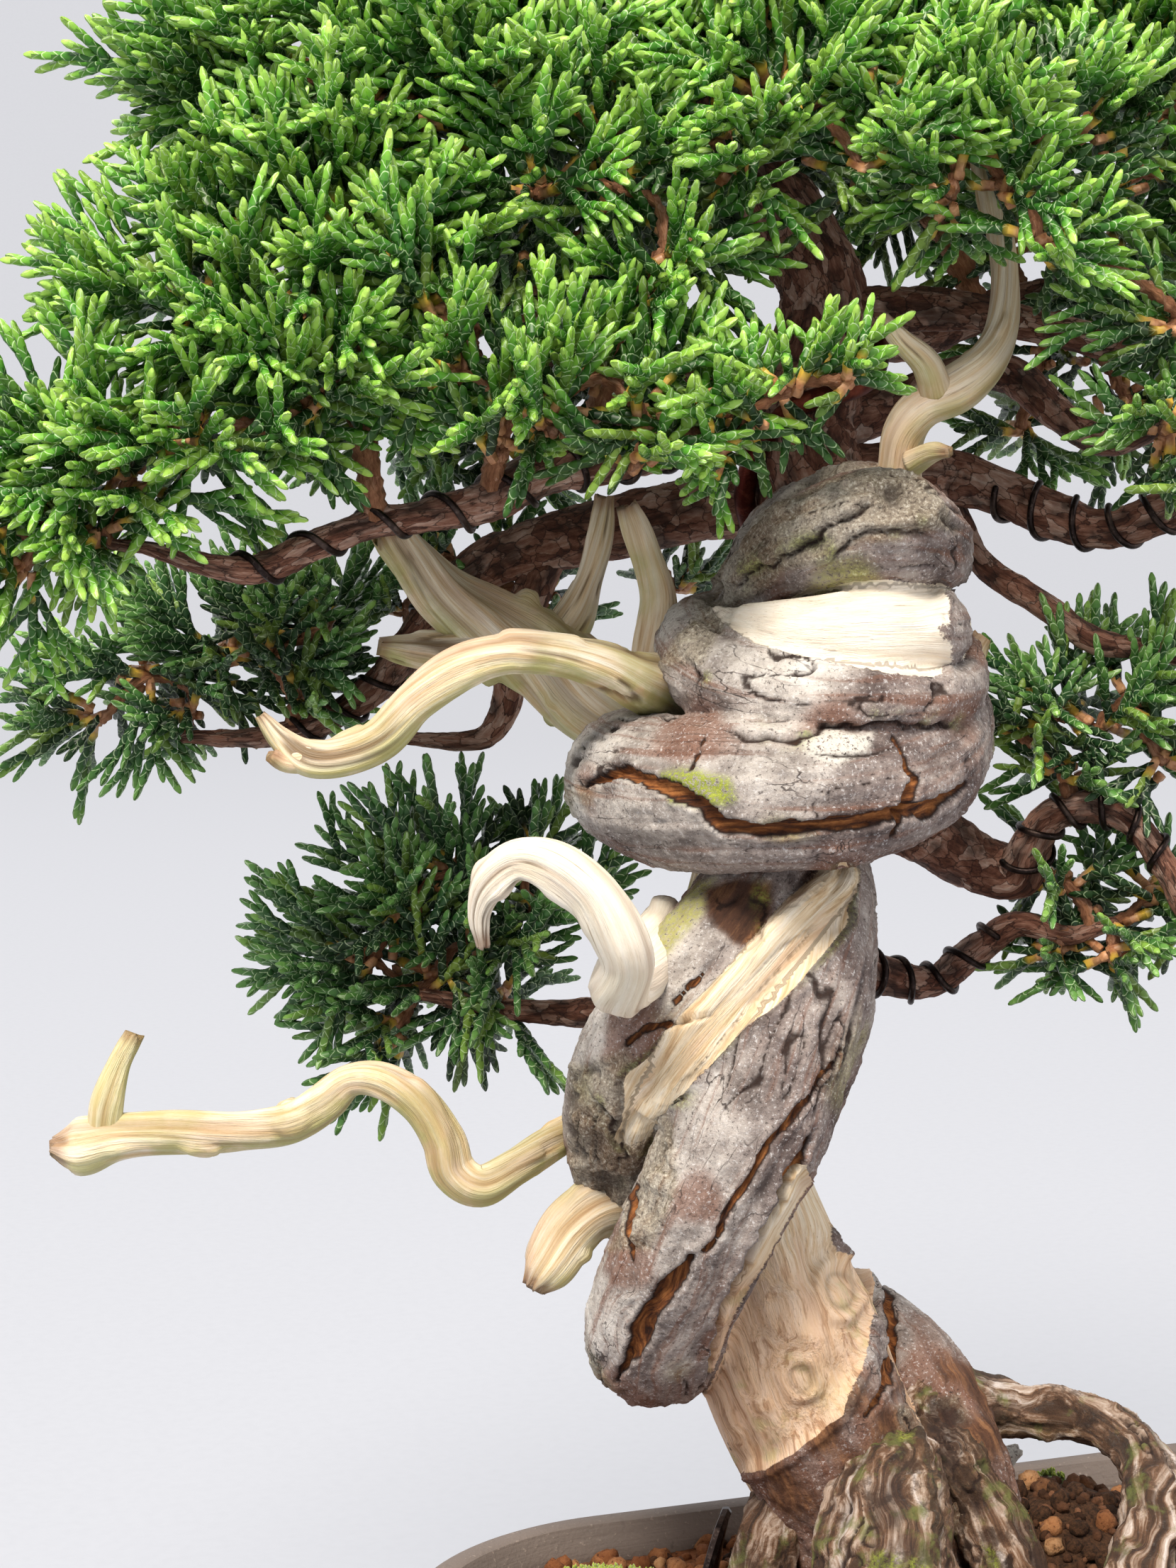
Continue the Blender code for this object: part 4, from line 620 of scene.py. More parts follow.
def sweep(path: Rows, sides: int, rounded: bool = True,
          twist: float = 0.0) -> tuple[Rows, Rows, Rows, Rows]:
    """Sweep a circle along a path.

    Args:
        path: rows of x, y, z, radius.
        sides: points round the circle, an even number.
        rounded: whether the ends close as domes.
        twist: turn of the circle in radians per millimetre.

    Returns:
        Points, their outward directions, their fibre coordinates and the quads.
    """
    tangents, side, up = frames_along(path)
    run = sum_of_steps(path)
    picks = list(range(len(path)))
    shift, shrink = [0.0] * len(path), [1.0] * len(path)
    if rounded:
        picks = [0, 0, 0] + picks + [len(path) - 1] * 3
        shift = [-0.97, -0.8, -0.45] + shift + [0.45, 0.8, 0.97]
        shrink = [0.22, 0.6, 0.89] + shrink + [0.89, 0.6, 0.22]
    picks, shift, shrink = np.array(picks), np.array(shift), np.array(shrink)
    radius = path[picks, 3]
    centre = path[picks, :3] + tangents[picks] * (shift * radius)[:, None]
    angle = 2 * math.pi * np.arange(sides) / sides + twist * run[picks][:, None]
    out = np.cos(angle)[..., None] * side[picks][:, None] + np.sin(angle)[..., None] * up[picks][:, None]
    points = centre[:, None] + out * (radius * shrink)[:, None, None]
    flat = 2 * math.pi * np.arange(sides) / sides
    along = (run[picks] + shift * radius)[:, None] * np.ones(sides)
    wide = path[:, 3].mean()
    fibre = np.stack(np.broadcast_arrays(along, wide * np.cos(flat), wide * np.sin(flat)), axis=2)
    return points.reshape(-1, 3), out.reshape(-1, 3), fibre.reshape(-1, 3), ring_quads(len(picks), sides)


def legs(places: Rows, line: Rows) -> Iterator[tuple[Rows, Rows, Rows]]:
    """Go along a broken line.

    Args:
        places: rows of two numbers.
        line: the line's points.

    Returns:
        For each leg: the leg, and the places' offsets from its start and distances from it.
    """
    for a, b in zip(line, line[1:]):
        leg, off = b - a, places - a
        share = np.clip((off @ leg) / (leg @ leg), 0.0, 1.0)
        yield leg, off, norm(off - share[:, None] * leg, axis=1)


def distance_to_line(places: Rows, line: Rows) -> Rows:
    """Distance of flat places from a broken line."""
    return np.min([gap for _, _, gap in legs(places, line)], axis=0)


def past_edge(places: Rows, line: Rows) -> tuple[Rows, Rows]:
    """How far flat places lie to the left of a broken line, and a weight that fades at its ends.

    Args:
        places: rows of two numbers.
        line: the line's points.

    Returns:
        The distance, negative on the right, and the weight.
    """
    best, signed = np.full(len(places), 1e9), np.zeros(len(places))
    for leg, off, gap in legs(places, line):
        near = gap < best
        best[near] = gap[near]
        signed[near] = (gap * np.sign(leg[0] * off[:, 1] - leg[1] * off[:, 0]))[near]
    return signed, ease(0.5, 5.0, norm(places[:, None] - line[[0, -1]], axis=2).min(1))


def depth_in_patch(places: Rows, outline: Rows) -> Rows:
    """How far flat places lie inside a closed outline.

    Args:
        places: rows of two numbers.
        outline: its corners.

    Returns:
        The depth, negative outside.
    """
    ring = list(outline) + [outline[0]]
    inside = np.zeros(len(places), bool)
    for (x0, z0), (x1, z1) in zip(ring, ring[1:]):
        crosses = (places[:, 1] < z0) != (places[:, 1] < z1)
        rise = np.where(abs(z1 - z0) < 1e-9, 1e-9, z1 - z0)
        inside ^= crosses & (places[:, 0] < (x1 - x0) * (places[:, 1] - z0) / rise + x0)
    away = distance_to_line(places, ring)
    return np.where(inside, away, -away)


class Texture(Enum):
    """What a pattern's texture looks like."""

    CLOUDS = "clouds"
    PLATES = "plates"
    SEAMS = "seams between plates"


@dataclass(frozen=True)
class Pattern:
    """A number that varies over a surface.

    It starts from another pattern, a painted value, a texture with so many waves to the millimetre (along the
    grain or in space), or else the height in millimetres. It may then be eased between two levels, scaled,
    lifted, multiplied and added to, in that order.
    """

    paint: str = ""
    waves: Triple | None = None
    grain: bool = False
    texture: Texture = Texture.CLOUDS
    detail: float = 4.0
    rough: float = 0.6
    warp: float = 0.0
    of: "Pattern | None" = None
    low: float | None = None
    high: float = 1.0
    gain: float = 1.0
    lift: float = 0.0
    times: "Pattern | None" = None
    plus: "Pattern | None" = None

    def eased(self, low: float, high: float, gain: float = 1.0, times: "Pattern | None" = None) -> "Pattern":
        """This pattern eased from 0 at one level to 1 at another, then scaled."""
        return replace(self, low=low, high=high, gain=gain, times=times)


@dataclass(frozen=True)
class Coat:
    """One colour, a run of colours picked by a pattern, or a stack of coats, laid over what is under it."""

    colours: str | tuple[tuple[float, str], ...] = ()
    amount: Pattern = Pattern()
    picked: Pattern = Pattern()
    stack: "tuple[Coat, ...]" = ()


@dataclass
class Surface:
    """A material being laid, and the patterns laid in it so far."""

    name: str
    laid: dict[Pattern, NodeSocket] = field(default_factory=dict)

    def __post_init__(self) -> None:
        """Start the material with a plain shader and its two coordinates."""
        self.material = bpy.data.materials.new(self.name)
        self.material.use_nodes = True
        self.tree = self.material.node_tree
        self.tree.nodes.clear()
        self.add = partial(add_node, self.tree)
        self.shader = self.add("BsdfPrincipled")
        self.add("OutputMaterial", links={"Surface": self.shader.outputs["BSDF"]})
        self.fibre = self.add("Attribute", {"attribute_name": "fibre"}).outputs["Vector"]
        self.place = self.add("TexCoord").outputs["Object"]

    def start(self, pattern: Pattern) -> NodeSocket:
        """The value a pattern starts from.

        Args:
            pattern: the pattern.

        Returns:
            The socket that gives it.
        """
        if pattern.of:
            return self.read(pattern.of)
        if pattern.paint:
            return self.add("Attribute", {"attribute_name": pattern.paint}).outputs["Fac"]
        waves = pattern.waves if pattern.waves else (1.0, 1.0, 1.0)
        scale = {"operation": "MULTIPLY", 1: waves if pattern.grain else tuple(w / MM for w in waves)}
        place = self.add("VectorMath", scale, {0: self.fibre if pattern.grain else self.place})
        if not pattern.waves:
            return self.add("SeparateXYZ", links={0: place.outputs[0]}).outputs[2]
        if pattern.texture is Texture.CLOUDS:
            settings = {"Scale": 1.0, "Detail": pattern.detail, "Roughness": pattern.rough,
                        "Distortion": pattern.warp}
            return self.add("TexNoise", settings, {"Vector": place.outputs[0]}).outputs["Fac"]
        drift = self.add("TexNoise", {"Scale": 0.8, "Detail": 4.0}, {"Vector": place.outputs[0]})
        bent = self.add("VectorMath", {"operation": "MULTIPLY_ADD", 1: (pattern.warp,) * 3},
                        {0: drift.outputs["Color"], 2: place.outputs[0]}).outputs[0]
        if pattern.texture is Texture.SEAMS:
            return self.add("TexVoronoi", {"feature": "DISTANCE_TO_EDGE", "Scale": 1.0},
                            {"Vector": bent}).outputs["Distance"]
        plates = self.add("TexVoronoi", {"Scale": 1.0}, {"Vector": bent})
        return self.add("SeparateColor", links={0: plates.outputs["Color"]}).outputs[0]

    def read(self, pattern: Pattern) -> NodeSocket:
        """The value of a pattern, laid once and used again.

        Args:
            pattern: the pattern.

        Returns:
            The socket that gives it.
        """
        if pattern in self.laid:
            return self.laid[pattern]
        root = replace(pattern, low=None, high=1.0, gain=1.0, lift=0.0, times=None, plus=None)
        value = self.read(root) if root != pattern else self.start(pattern)
        if pattern.low is not None:
            low, high = sorted((pattern.low, pattern.high))
            start = float(low != pattern.low)
            settings = {"interpolation_type": "SMOOTHSTEP", 1: low, 2: high, 3: start, 4: 1.0 - start}
            value = self.add("MapRange", settings, {0: value}).outputs[0]
        if (pattern.gain, pattern.lift) != (1.0, 0.0):
            value = self.add("Math", {"operation": "MULTIPLY_ADD", 1: pattern.gain,
                                                           2: pattern.lift}, {0: value}).outputs[0]
        for other, operation in ((pattern.times, "MULTIPLY"), (pattern.plus, "ADD")):
            if other:
                value = self.add("Math", {"operation": operation},
                                 {0: value, 1: self.read(other)}).outputs[0]
        self.laid[pattern] = value
        return value

    def colour(self, coats: Sequence[Coat]) -> NodeSocket:
        """The colour that a stack of coats gives.

        Args:
            coats: from the lowest to the top one.

        Returns:
            The socket that gives it.
        """
        under: NodeSocket | None = None
        for coat in coats:
            settings: dict = {"data_type": "RGBA"}
            links = {}
            if coat.stack:
                links[7] = self.colour(coat.stack)
            elif isinstance(coat.colours, str):
                settings[7] = linear(coat.colours)
            else:
                run = self.add("ValToRGB", links={0: self.read(coat.picked)})
                links[7] = fill_ramp(run, coat.colours).outputs["Color"]
            if under is None:
                under = links[7]
                continue
            under = self.add("Mix", settings,
                             {**links, 6: under, 0: self.read(coat.amount)}).outputs[2]
        return under


class Finish:
    """A finish: its coats of colour, how rough it is, its fine relief, and numbers set on the shader."""

    name: str
    coats: tuple[Coat, ...]
    rough: float | Pattern
    relief: Pattern
    relief_mm: float
    strength: float = 0.7
    sockets: tuple[tuple[str, float], ...] = (("Specular IOR Level", 0.35),)

    def start(self) -> Surface:
        """A fresh surface for this finish."""
        return Surface(self.name)

    def make(self) -> Material:
        """Lay the finish.

        Returns:
            The material.
        """
        surface = self.start()
        shader, link = surface.shader, surface.tree.links.new
        link(surface.colour(self.coats), shader.inputs["Base Color"])
        if isinstance(self.rough, Pattern):
            link(surface.read(self.rough), shader.inputs["Roughness"])
        else:
            shader.inputs["Roughness"].default_value = self.rough
        for socket, value in self.sockets:
            shader.inputs[socket].default_value = value
        bump = surface.add("Bump", {"Strength": self.strength, "Distance": self.relief_mm * MM},
                           {"Height": surface.read(self.relief)})
        link(bump.outputs["Normal"], shader.inputs["Normal"])
        return surface.material


def cloud(waves: float, **rest: float) -> Pattern:
    """Clouds with so many waves to the millimetre."""
    return Pattern(waves=(waves,) * 3, **rest)


def along(long: float, across: float, **rest: float | Texture) -> Pattern:
    """A texture drawn out along the grain: waves to the millimetre along it and across it."""
    return Pattern(waves=(long, across, across), grain=True, **rest)


SPECK = cloud(1.9, rough=0.75)
GRAIN = along(0.06, 1.3, detail=6.0, warp=0.3)
FINE_GRAIN = along(0.12, 2.5, detail=5.0, rough=0.65)
# Bleached juniper: cream wood with fine grain lines 0.3 mm apart, pinker in broad bands, green where damp.
BLEACHED = (
    Coat(((0.3, "#BE9C74"), (0.42, "#DAC19B"), (0.55, "#E9DAC0"), (0.72, "#F5ECDD")), picked=GRAIN),
    Coat("#D0AA8C", along(0.05, 0.16, detail=3.0).eased(0.5, 0.7, 0.55)),
    Coat("#E6BD9C", Pattern("flesh", gain=0.6)),
    Coat("#A07452", along(0.08, 0.7, detail=5.0, warp=0.8).eased(
        0.5, 0.66, 0.75, Pattern("flesh"))),
    Coat("#B4AC70", cloud(0.13).eased(0.56, 0.68, 0.5, Pattern("flesh"))),
    Coat("#F7F1E6", Pattern("bleach", gain=0.6)),
    Coat("#84623F", along(0.09, 3.0, rough=0.7).eased(0.41, 0.3, 0.65)),
    Coat("#A6A962", Pattern("algae", gain=0.8, times=cloud(0.16).eased(0.25, 0.6))),
    # Cracks darken the wood; on the trunk the same paint also holds painted shade under bark ledges and round
    # knots.
    Coat("#5F482E", Pattern("crack", gain=0.8)),
)
BARE = Pattern(of=Pattern("dead", plus=replace(SPECK, gain=0.5, lift=-0.25)), low=0.44, high=0.56)


class TrunkWood(Finish):
    """Live juniper bark over veins, with deadwood carved bare and bleached with lime sulphur.

    Dry, matt, grey-lilac scurf over brown, mottled from 8 mm down to 0.3 mm; the bared wood is smooth cream.
    Old roots carry pale ribs with green in the furrows between them.
    """

    name = "trunk_wood"
    coats = (
        Coat(((0.32, "#4A3E3B"), (0.45, "#766965"), (0.56, "#988C86"), (0.7, "#B8AFA8")),
             picked=cloud(0.14, detail=8.0, rough=0.68)),
        # Pale scurf, laid thickest on faces turned up and to the left, so it is partly painted light from
        # that side.
        Coat(((0.32, "#7E7570"), (0.45, "#B0A9A2"), (0.56, "#CEC8C1"), (0.7, "#E6E2DC")), Pattern("pale"),
             cloud(0.14, detail=8.0, rough=0.68)),
        Coat("#7A5442", along(0.035, 0.55, detail=5.0, warp=0.5).eased(0.5, 0.68, 0.75)),
        Coat("#7E5440", Pattern("warm", gain=0.7)),
        Coat("#DEDCDC", SPECK.eased(0.56, 0.64, 0.6)),
        Coat("#332929", SPECK.eased(0.43, 0.35, 0.75)),
        Coat("#2B201E", along(0.10, 0.3, texture=Texture.SEAMS, warp=1.4).eased(
            0.022, 0.004, 0.85, cloud(0.09).eased(0.46, 0.6))),
        Coat(((0.3, "#3A3025"), (0.45, "#7A6D55"), (0.55, "#A69C83"), (0.68, "#D0C9B4")),
             Pattern("gnarl", gain=0.55), SPECK),
        Coat("#A7A653", Pattern("algae", gain=0.85, times=SPECK.eased(0.3, 0.6))),
        Coat("#D6D2C9", Pattern("lichen", times=SPECK.eased(0.35, 0.5))),
        Coat(((0.28, "#2A1A14"), (0.5, "#5F3F2C"), (0.72, "#A0724C")), Pattern("peel"),
             along(0.12, 0.7, detail=6.0, rough=0.7)),
        Coat(((0.34, "#1B130D"), (0.43, "#3C2A1C"), (0.5, "#6B4E38"), (0.57, "#A89483"), (0.68, "#DDD2CC")),
             Pattern("rooty", gain=0.9), along(0.03, 0.45, detail=6.0, rough=0.66, warp=0.6)),
        Coat("#3E2A1C", cloud(0.16, detail=5.0, rough=0.7).eased(0.5, 0.6, 0.75, Pattern("rooty"))),
        Coat("#68703A", Pattern("rooty", gain=0.7, times=cloud(0.2, detail=6.0).eased(0.52, 0.66))),
        Coat(((0.35, "#4C5A1E"), (0.65, "#A9B24A")), Pattern("mossy", times=SPECK.eased(0.38, 0.52)), SPECK),
        # Cracks show dark inner bark; the same paint also darkens the grooves under bark ledges and round
        # knots as painted shade.
        Coat(stack=(
            Coat(((0.35, "#341B10"), (0.5, "#74431F"), (0.68, "#B0733F")),
                 picked=along(0.2, 1.5)),
            Coat("#24140D", Pattern("crack").eased(0.9, 0.4)),
        ), amount=Pattern("crack").eased(0.1, 0.5)),
        # Painted shade: dark brown laid into the carved-down hollows of the bark.
        Coat("#2A1F1D", Pattern("hollow", gain=0.75)),
        Coat(stack=BLEACHED, amount=BARE),
    )
    rough = replace(BARE, gain=-0.22, lift=0.88)
    relief = cloud(1.1, detail=6.0, rough=0.72, times=replace(BARE, gain=-1.0, lift=1.0),
                              plus=replace(FINE_GRAIN, times=BARE))
    relief_mm = 0.7
    strength = 0.8


class Deadwood(Finish):
    """Stripped juniper wood, scraped along the grain and bleached: dry, pale, lightly ribbed."""

    name = "deadwood"
    coats = (
        Coat(stack=BLEACHED),
        Coat("#B68A62", cloud(0.07, detail=3.0).eased(0.56, 0.76, 0.35)),
        # Painted shade: darker in the low parts of the grain.
        Coat("#8E6B4A", Pattern("hollow", gain=0.55)),
        Coat("#7A4C2C", Pattern("broken", gain=0.6)),
    )
    rough = 0.62
    relief = FINE_GRAIN
    relief_mm = 0.55
    strength = 0.75


PLATE = along(0.30, 0.62, texture=Texture.PLATES, warp=1.6)
FLAKE = along(0.3, 1.4, detail=6.0, rough=0.72)


class FlakyBark(Finish):
    """Young juniper bark, shed in papery 3 mm plates: dark red-brown under them, dusty pink-grey on top."""

    name = "branch_bark"
    coats = (
        Coat(((0.3, "#341D15"), (0.46, "#6B4232"), (0.6, "#966B58"), (0.76, "#B99887"), (0.92, "#DCC8BB")),
             picked=replace(PLATE, gain=0.32, plus=replace(FLAKE, gain=0.85))),
        Coat("#24120D", replace(PLATE, texture=Texture.SEAMS).eased(0.06, 0.0, 0.8)),
        # Painted shade: near black in the low steps between plates and scales.
        Coat("#241612", Pattern("hollow", gain=0.7)),
        Coat(((0.3, "#7D4A30"), (0.7, "#C98F62")), Pattern("young", gain=0.65), FLAKE),
    )
    rough = 0.82
    relief = replace(PLATE, gain=0.6, plus=FLAKE)
    relief_mm = 0.9
    strength = 0.9


MOTTLE = cloud(0.5, detail=3.0)
FRESH = Pattern("tip", plus=replace(MOTTLE, gain=0.35, lift=-0.17))


class JuniperScale(Finish):
    """Scale leaves 1.2 mm long, pressed to the cords in crossed pairs: waxy, pale-edged, bright at tips."""

    name = "juniper_scale"
    coats = (
        Coat(((0.0, "#2C6A1C"), (0.3, "#4A9024"), (0.65, "#7CB83C"), (1.0, "#BCE26C")), picked=FRESH),
        # Rear and lower pads get a darker, bluer green, as older foliage and as painted shade.
        Coat(((0.0, "#224628"), (0.45, "#3C6A36"), (0.85, "#588C48"), (1.0, "#7AA85C")), Pattern("age"),
             FRESH),
        # Painted shade: cords deep in a pad are darkened towards black-green.
        Coat("#06180A", Pattern("depth", gain=1.0)),
        Coat("#A8CC50", Pattern("sun").eased(0.7, 1.0, 0.4)),
        # Pale waxy leaf margins, dimmed deep in the pad with the painted shade.
        Coat("#CBE3B4", Pattern("margin").eased(0.11, 0.03, 0.72, Pattern("depth", gain=-0.6, lift=1.0))),
        # Painted shade in the grooves between neighbouring scale leaves.
        Coat("#0B2A12", Pattern("from_mid").eased(0.86, 0.98, 0.5)),
        Coat("#C9A63E", Pattern("woody").eased(0.02, 0.4)),
        Coat(((0.35, "#8A5636"), (0.65, "#CC9A70")), Pattern("woody").eased(0.3, 0.8), MOTTLE),
    )
    rough = 0.42
    relief = Pattern("swell")
    relief_mm = 0.4
    strength = 0.8
    sockets = (("Specular IOR Level", 0.42), ("IOR", 1.45))
    leaf_mm = 1.2

    def start(self) -> Surface:
        """A surface whose leaf margins are worked out from the place round and along each cord.

        Returns:
            The surface.
        """
        surface = super().start()
        leaf = surface.add("Attribute", {"attribute_name": "leaf"}).outputs["Vector"]
        axes = surface.add("SeparateXYZ", links={0: leaf}).outputs
        known = {"around": axes[0], "along": axes[1], "sun": axes[2]}
        for name, operation, first, second in (
                ("row", "DIVIDE", "along", self.leaf_mm), ("whole", "FLOOR", "row", 0.0),
                ("odd", "FLOORED_MODULO", "whole", 2.0), ("step", "MULTIPLY", "odd", 0.5),
                ("twice", "MULTIPLY", "around", 2.0), ("shifted", "ADD", "twice", "step"),
                ("across", "FRACT", "shifted", 0.0), ("off", "SUBTRACT", "across", 0.5),
                ("far", "ABSOLUTE", "off", 0.0), ("from_mid", "MULTIPLY", "far", 2.0),
                ("up", "FRACT", "row", 0.0), ("round", "POWER", "from_mid", 1.6),
                ("arch", "MULTIPLY", "round", 0.75), ("front", "ADD", "up", "arch"),
                ("past", "SUBTRACT", "front", 0.97), ("margin", "ABSOLUTE", "past", 0.0),
                ("fall", "MULTIPLY", "from_mid", "from_mid"), ("swell", "SUBTRACT", "up", "fall")):
            settings, links = {"operation": operation}, {0: known[first]}
            if isinstance(second, str):
                links[1] = known[second]
            else:
                settings[1] = second
            known[name] = surface.add("Math", settings, links).outputs[0]
        for name in ("sun", "from_mid", "margin", "swell"):
            surface.laid[Pattern(name)] = known[name]
        return surface


GROG = cloud(1.4, detail=2.0, rough=0.5)
CLAY_CLOUD = cloud(0.035, detail=5.0, warp=0.4)


class Stoneware(Finish):
    """Unglazed wood-fired stoneware, speckled grey-brown clay wiped smooth: matt, with pale 0.5 mm grog.

    The clay is paler from 48 mm up over the rim, the foot is warmer, and water leaves a lime bloom low on the
    wall.
    """

    name = "stoneware"
    coats = (
        Coat(((0.3, "#413833"), (0.5, "#554A44"), (0.7, "#6C5F57")), picked=CLAY_CLOUD),
        Coat("#A8998D", GROG.eased(0.64, 0.72, 0.55)),
        Coat("#2B2320", cloud(0.9, detail=2.0, rough=0.5, warp=0.6).eased(0.36, 0.28, 0.7)),
        # Paler from 48 mm up over the rim.
        Coat("#877C75", Pattern().eased(48.0, 52.0, 0.5)),
        Coat("#7E6250", Pattern().eased(9.0, 2.0, 0.45)),
        Coat("#9A9087", cloud(0.09, detail=5.0).eased(0.52, 0.68, 0.4, Pattern().eased(26.0, 8.0))),
    )
    rough = replace(CLAY_CLOUD, gain=0.25, lift=0.62)
    relief = replace(GROG, gain=0.7, plus=Pattern(waves=(0.02, 0.02, 0.9), detail=3.0))
    relief_mm = 0.3
    strength = 0.6
    sockets = (("Specular IOR Level", 0.4), ("IOR", 1.5))


PORES = cloud(1.3, detail=5.0, rough=0.7)


class FiredClayGrit(Finish):
    """Akadama: baked volcanic clay in crumbs, porous and dusty, darker where damp and among black humus."""

    name = "akadama"
    coats = (
        Coat(((0.25, "#6B3E24"), (0.5, "#8A5A38"), (0.75, "#A97C54"), (0.95, "#BE9A74")),
             picked=Pattern("chance", gain=0.6, plus=replace(PORES, gain=0.5))),
        Coat("#2A1810", PORES.eased(0.44, 0.33, 0.75)),
        Coat(((0.35, "#1B120C"), (0.65, "#4E3524")), Pattern("humus").eased(0.35, 0.75), PORES),
    )
    rough = 0.95
    relief = PORES
    relief_mm = 0.55
    strength = 0.9
    sockets = (("Specular IOR Level", 0.2),)


class HumusCrumb(FiredClayGrit):
    """Rotted leaf mould in crumbs: dark, dull and damp."""

    name = "humus_crumb"
    coats = (
        Coat(((0.25, "#22150D"), (0.55, "#4A3020"), (0.9, "#74503A")),
             picked=Pattern("chance", gain=0.6, plus=replace(PORES, gain=0.5))),
    )


TUFT = cloud(0.7, rough=0.7)


class CushionMoss(Finish):
    """Short cushion moss: soft, matt, bright green tips over brown."""

    name = "cushion_moss"
    coats = (
        Coat(((0.0, "#2B2A12"), (0.4, "#46531C"), (0.75, "#73832C"), (1.0, "#A8B548")),
             picked=Pattern("tip", plus=replace(TUFT, gain=0.6, lift=-0.3))),
    )
    rough = 0.95
    relief = TUFT
    relief_mm = 0.4
    sockets = (("Specular IOR Level", 0.2), ("Sheen Weight", 0.3))


TARNISH = cloud(0.25, detail=5.0, rough=0.65)
HANDLED = cloud(1.8, rough=0.7)


class BlackWire(Finish):
    """Annealed aluminium wire, anodised brown-black and wound by hand: satin glints under soil dust."""

    name = "black_wire"
    coats = (
        Coat(((0.5, "#2A2322"), (0.75, "#5C4E48")), picked=TARNISH),
        Coat("#7E706A", HANDLED.eased(0.55, 0.7, 0.3)),
    )
    rough = replace(TARNISH, gain=0.45, lift=0.2)
    relief = HANDLED
    relief_mm = 0.12
    strength = 0.4
    sockets = (("Metallic", 1.0),)


class CopperWire(BlackWire):
    """Annealed copper wire, drawn smooth and tarnished deep maroon: soft dull glints."""

    name = "copper_wire"
    coats = (
        Coat(((0.5, "#4A1F1A"), (0.75, "#8A4A38")), picked=TARNISH),
        Coat("#6E5648", HANDLED.eased(0.55, 0.7, 0.3)),
    )


class MouldedMesh(Finish):
    """Black polyethylene drainage mesh, injection moulded: faint satin, dusted by clay."""

    name = "mesh_plastic"
    coats = (
        Coat(((0.35, "#17181A"), (0.6, "#24262A"), (0.8, "#5A4636")),
             picked=cloud(0.6, detail=5.0, rough=0.7)),
    )
    rough = 0.5
    relief = cloud(0.6, detail=5.0, rough=0.7)
    relief_mm = 0.1
    strength = 0.3
    sockets = (("IOR", 1.51),)


class MattPaper(Finish):
    """Seamless backdrop paper: matt, pale and cool, with a felt 3 mm across."""

    name = "backdrop_paper"
    coats = (Coat(((0.3, "#606267"), (0.6, "#65676C")), picked=cloud(0.35)),)
    rough = 1.0
    relief = cloud(0.35)
    relief_mm = 0.02
    strength = 0.2
    sockets = (("Specular IOR Level", 0.0), ("Emission Strength", 0.71))
    glow = "#ECECF0"

    def start(self) -> Surface:
        """A surface that glows evenly, as a lit sweep of paper does."""
        surface = super().start()
        surface.shader.inputs["Emission Color"].default_value = linear(self.glow)
        return surface


def fuse(tubes: Sequence[tuple[Rows, Rows]], voxel: float) -> tuple[Rows, Rows, Rows]:
    """Weld closed tubes into one even skin.

    Args:
        tubes: points and quads of each tube, in millimetres.
        voxel: edge of the skin's quads.

    Returns:
        Points, outward directions and quads.
    """
    count, points, quads = 0, [], []
    for pts, faces in tubes:
        points.append(pts)
        quads.append(faces + count)
        count += len(pts)
    mesh = bpy.data.meshes.new("skin")
    mesh.from_pydata(np.concatenate(points).tolist(), [], np.concatenate(quads).tolist())
    obj = stand("skin", mesh)
    remesh = obj.modifiers.new("weld", "REMESH")
    remesh.mode, remesh.voxel_size = "VOXEL", voxel
    soften = obj.modifiers.new("soften", "SMOOTH")
    soften.factor, soften.iterations = 0.5, 6
    made = obj.evaluated_get(bpy.context.evaluated_depsgraph_get()).to_mesh()
    out = np.empty(len(made.vertices) * 3, np.float32)
    made.vertices.foreach_get("co", out)
    turned = np.empty(len(made.vertices) * 3, np.float32)
    made.vertex_normals.foreach_get("vector", turned)
    corners = np.empty(len(made.loops), np.int32)
    made.loops.foreach_get("vertex_index", corners)
    bpy.data.objects.remove(obj)
    bpy.data.meshes.remove(mesh)
    quads = corners.reshape(-1, 4)
    mark = np.arange(len(out) // 3)
    while True:
        low = np.minimum.reduce(mark[quads], axis=1)
        new = mark.copy()
        for k in range(4):
            np.minimum.at(new, quads[:, k], low)
            np.minimum.at(new, mark[quads[:, k]], low)
        new = new[new]
        if (new == mark).all():
            break
        mark = new
    keep = mark == np.bincount(mark).argmax()
    place = np.cumsum(keep) - 1
    quads = place[quads[keep[quads[:, 0]]]]
    return out.reshape(-1, 3)[keep].astype(float), turned.reshape(-1, 3)[keep].astype(float), quads


def seen_from_front(points: Rows, normals: Rows) -> tuple[Rows, Rows]:
    """Where points stand on the upright plane as seen from the tree's front, and how far they face it.

    Args:
        points: places in the tree's frame.
        normals: outward directions.

    Returns:
        Rows of (x, z), and a weight that fades to 0 on the back.
    """
    ray = points - FRONT_EYE
    share = (DRAWING_PLANE_Y - FRONT_EYE[1]) / ray[:, 1]
    on_plane = FRONT_EYE + ray * share[:, None]
    facing = -(normals * ray).sum(1) / norm(ray, axis=1)
    return on_plane[:, [0, 2]], ease(0.02, 0.3, facing)


def lift_paint(paint: dict[str, Rows], key: str, values: Rows) -> None:
    """Raise one painted value to at least these."""
    paint[key] = np.maximum(paint[key], values)


@dataclass
class Grown:
    """Relief and paint worked out for a run of points on the trunk or the roots."""

    fibre: Rows
    dead: Rows
    rooty: Rows


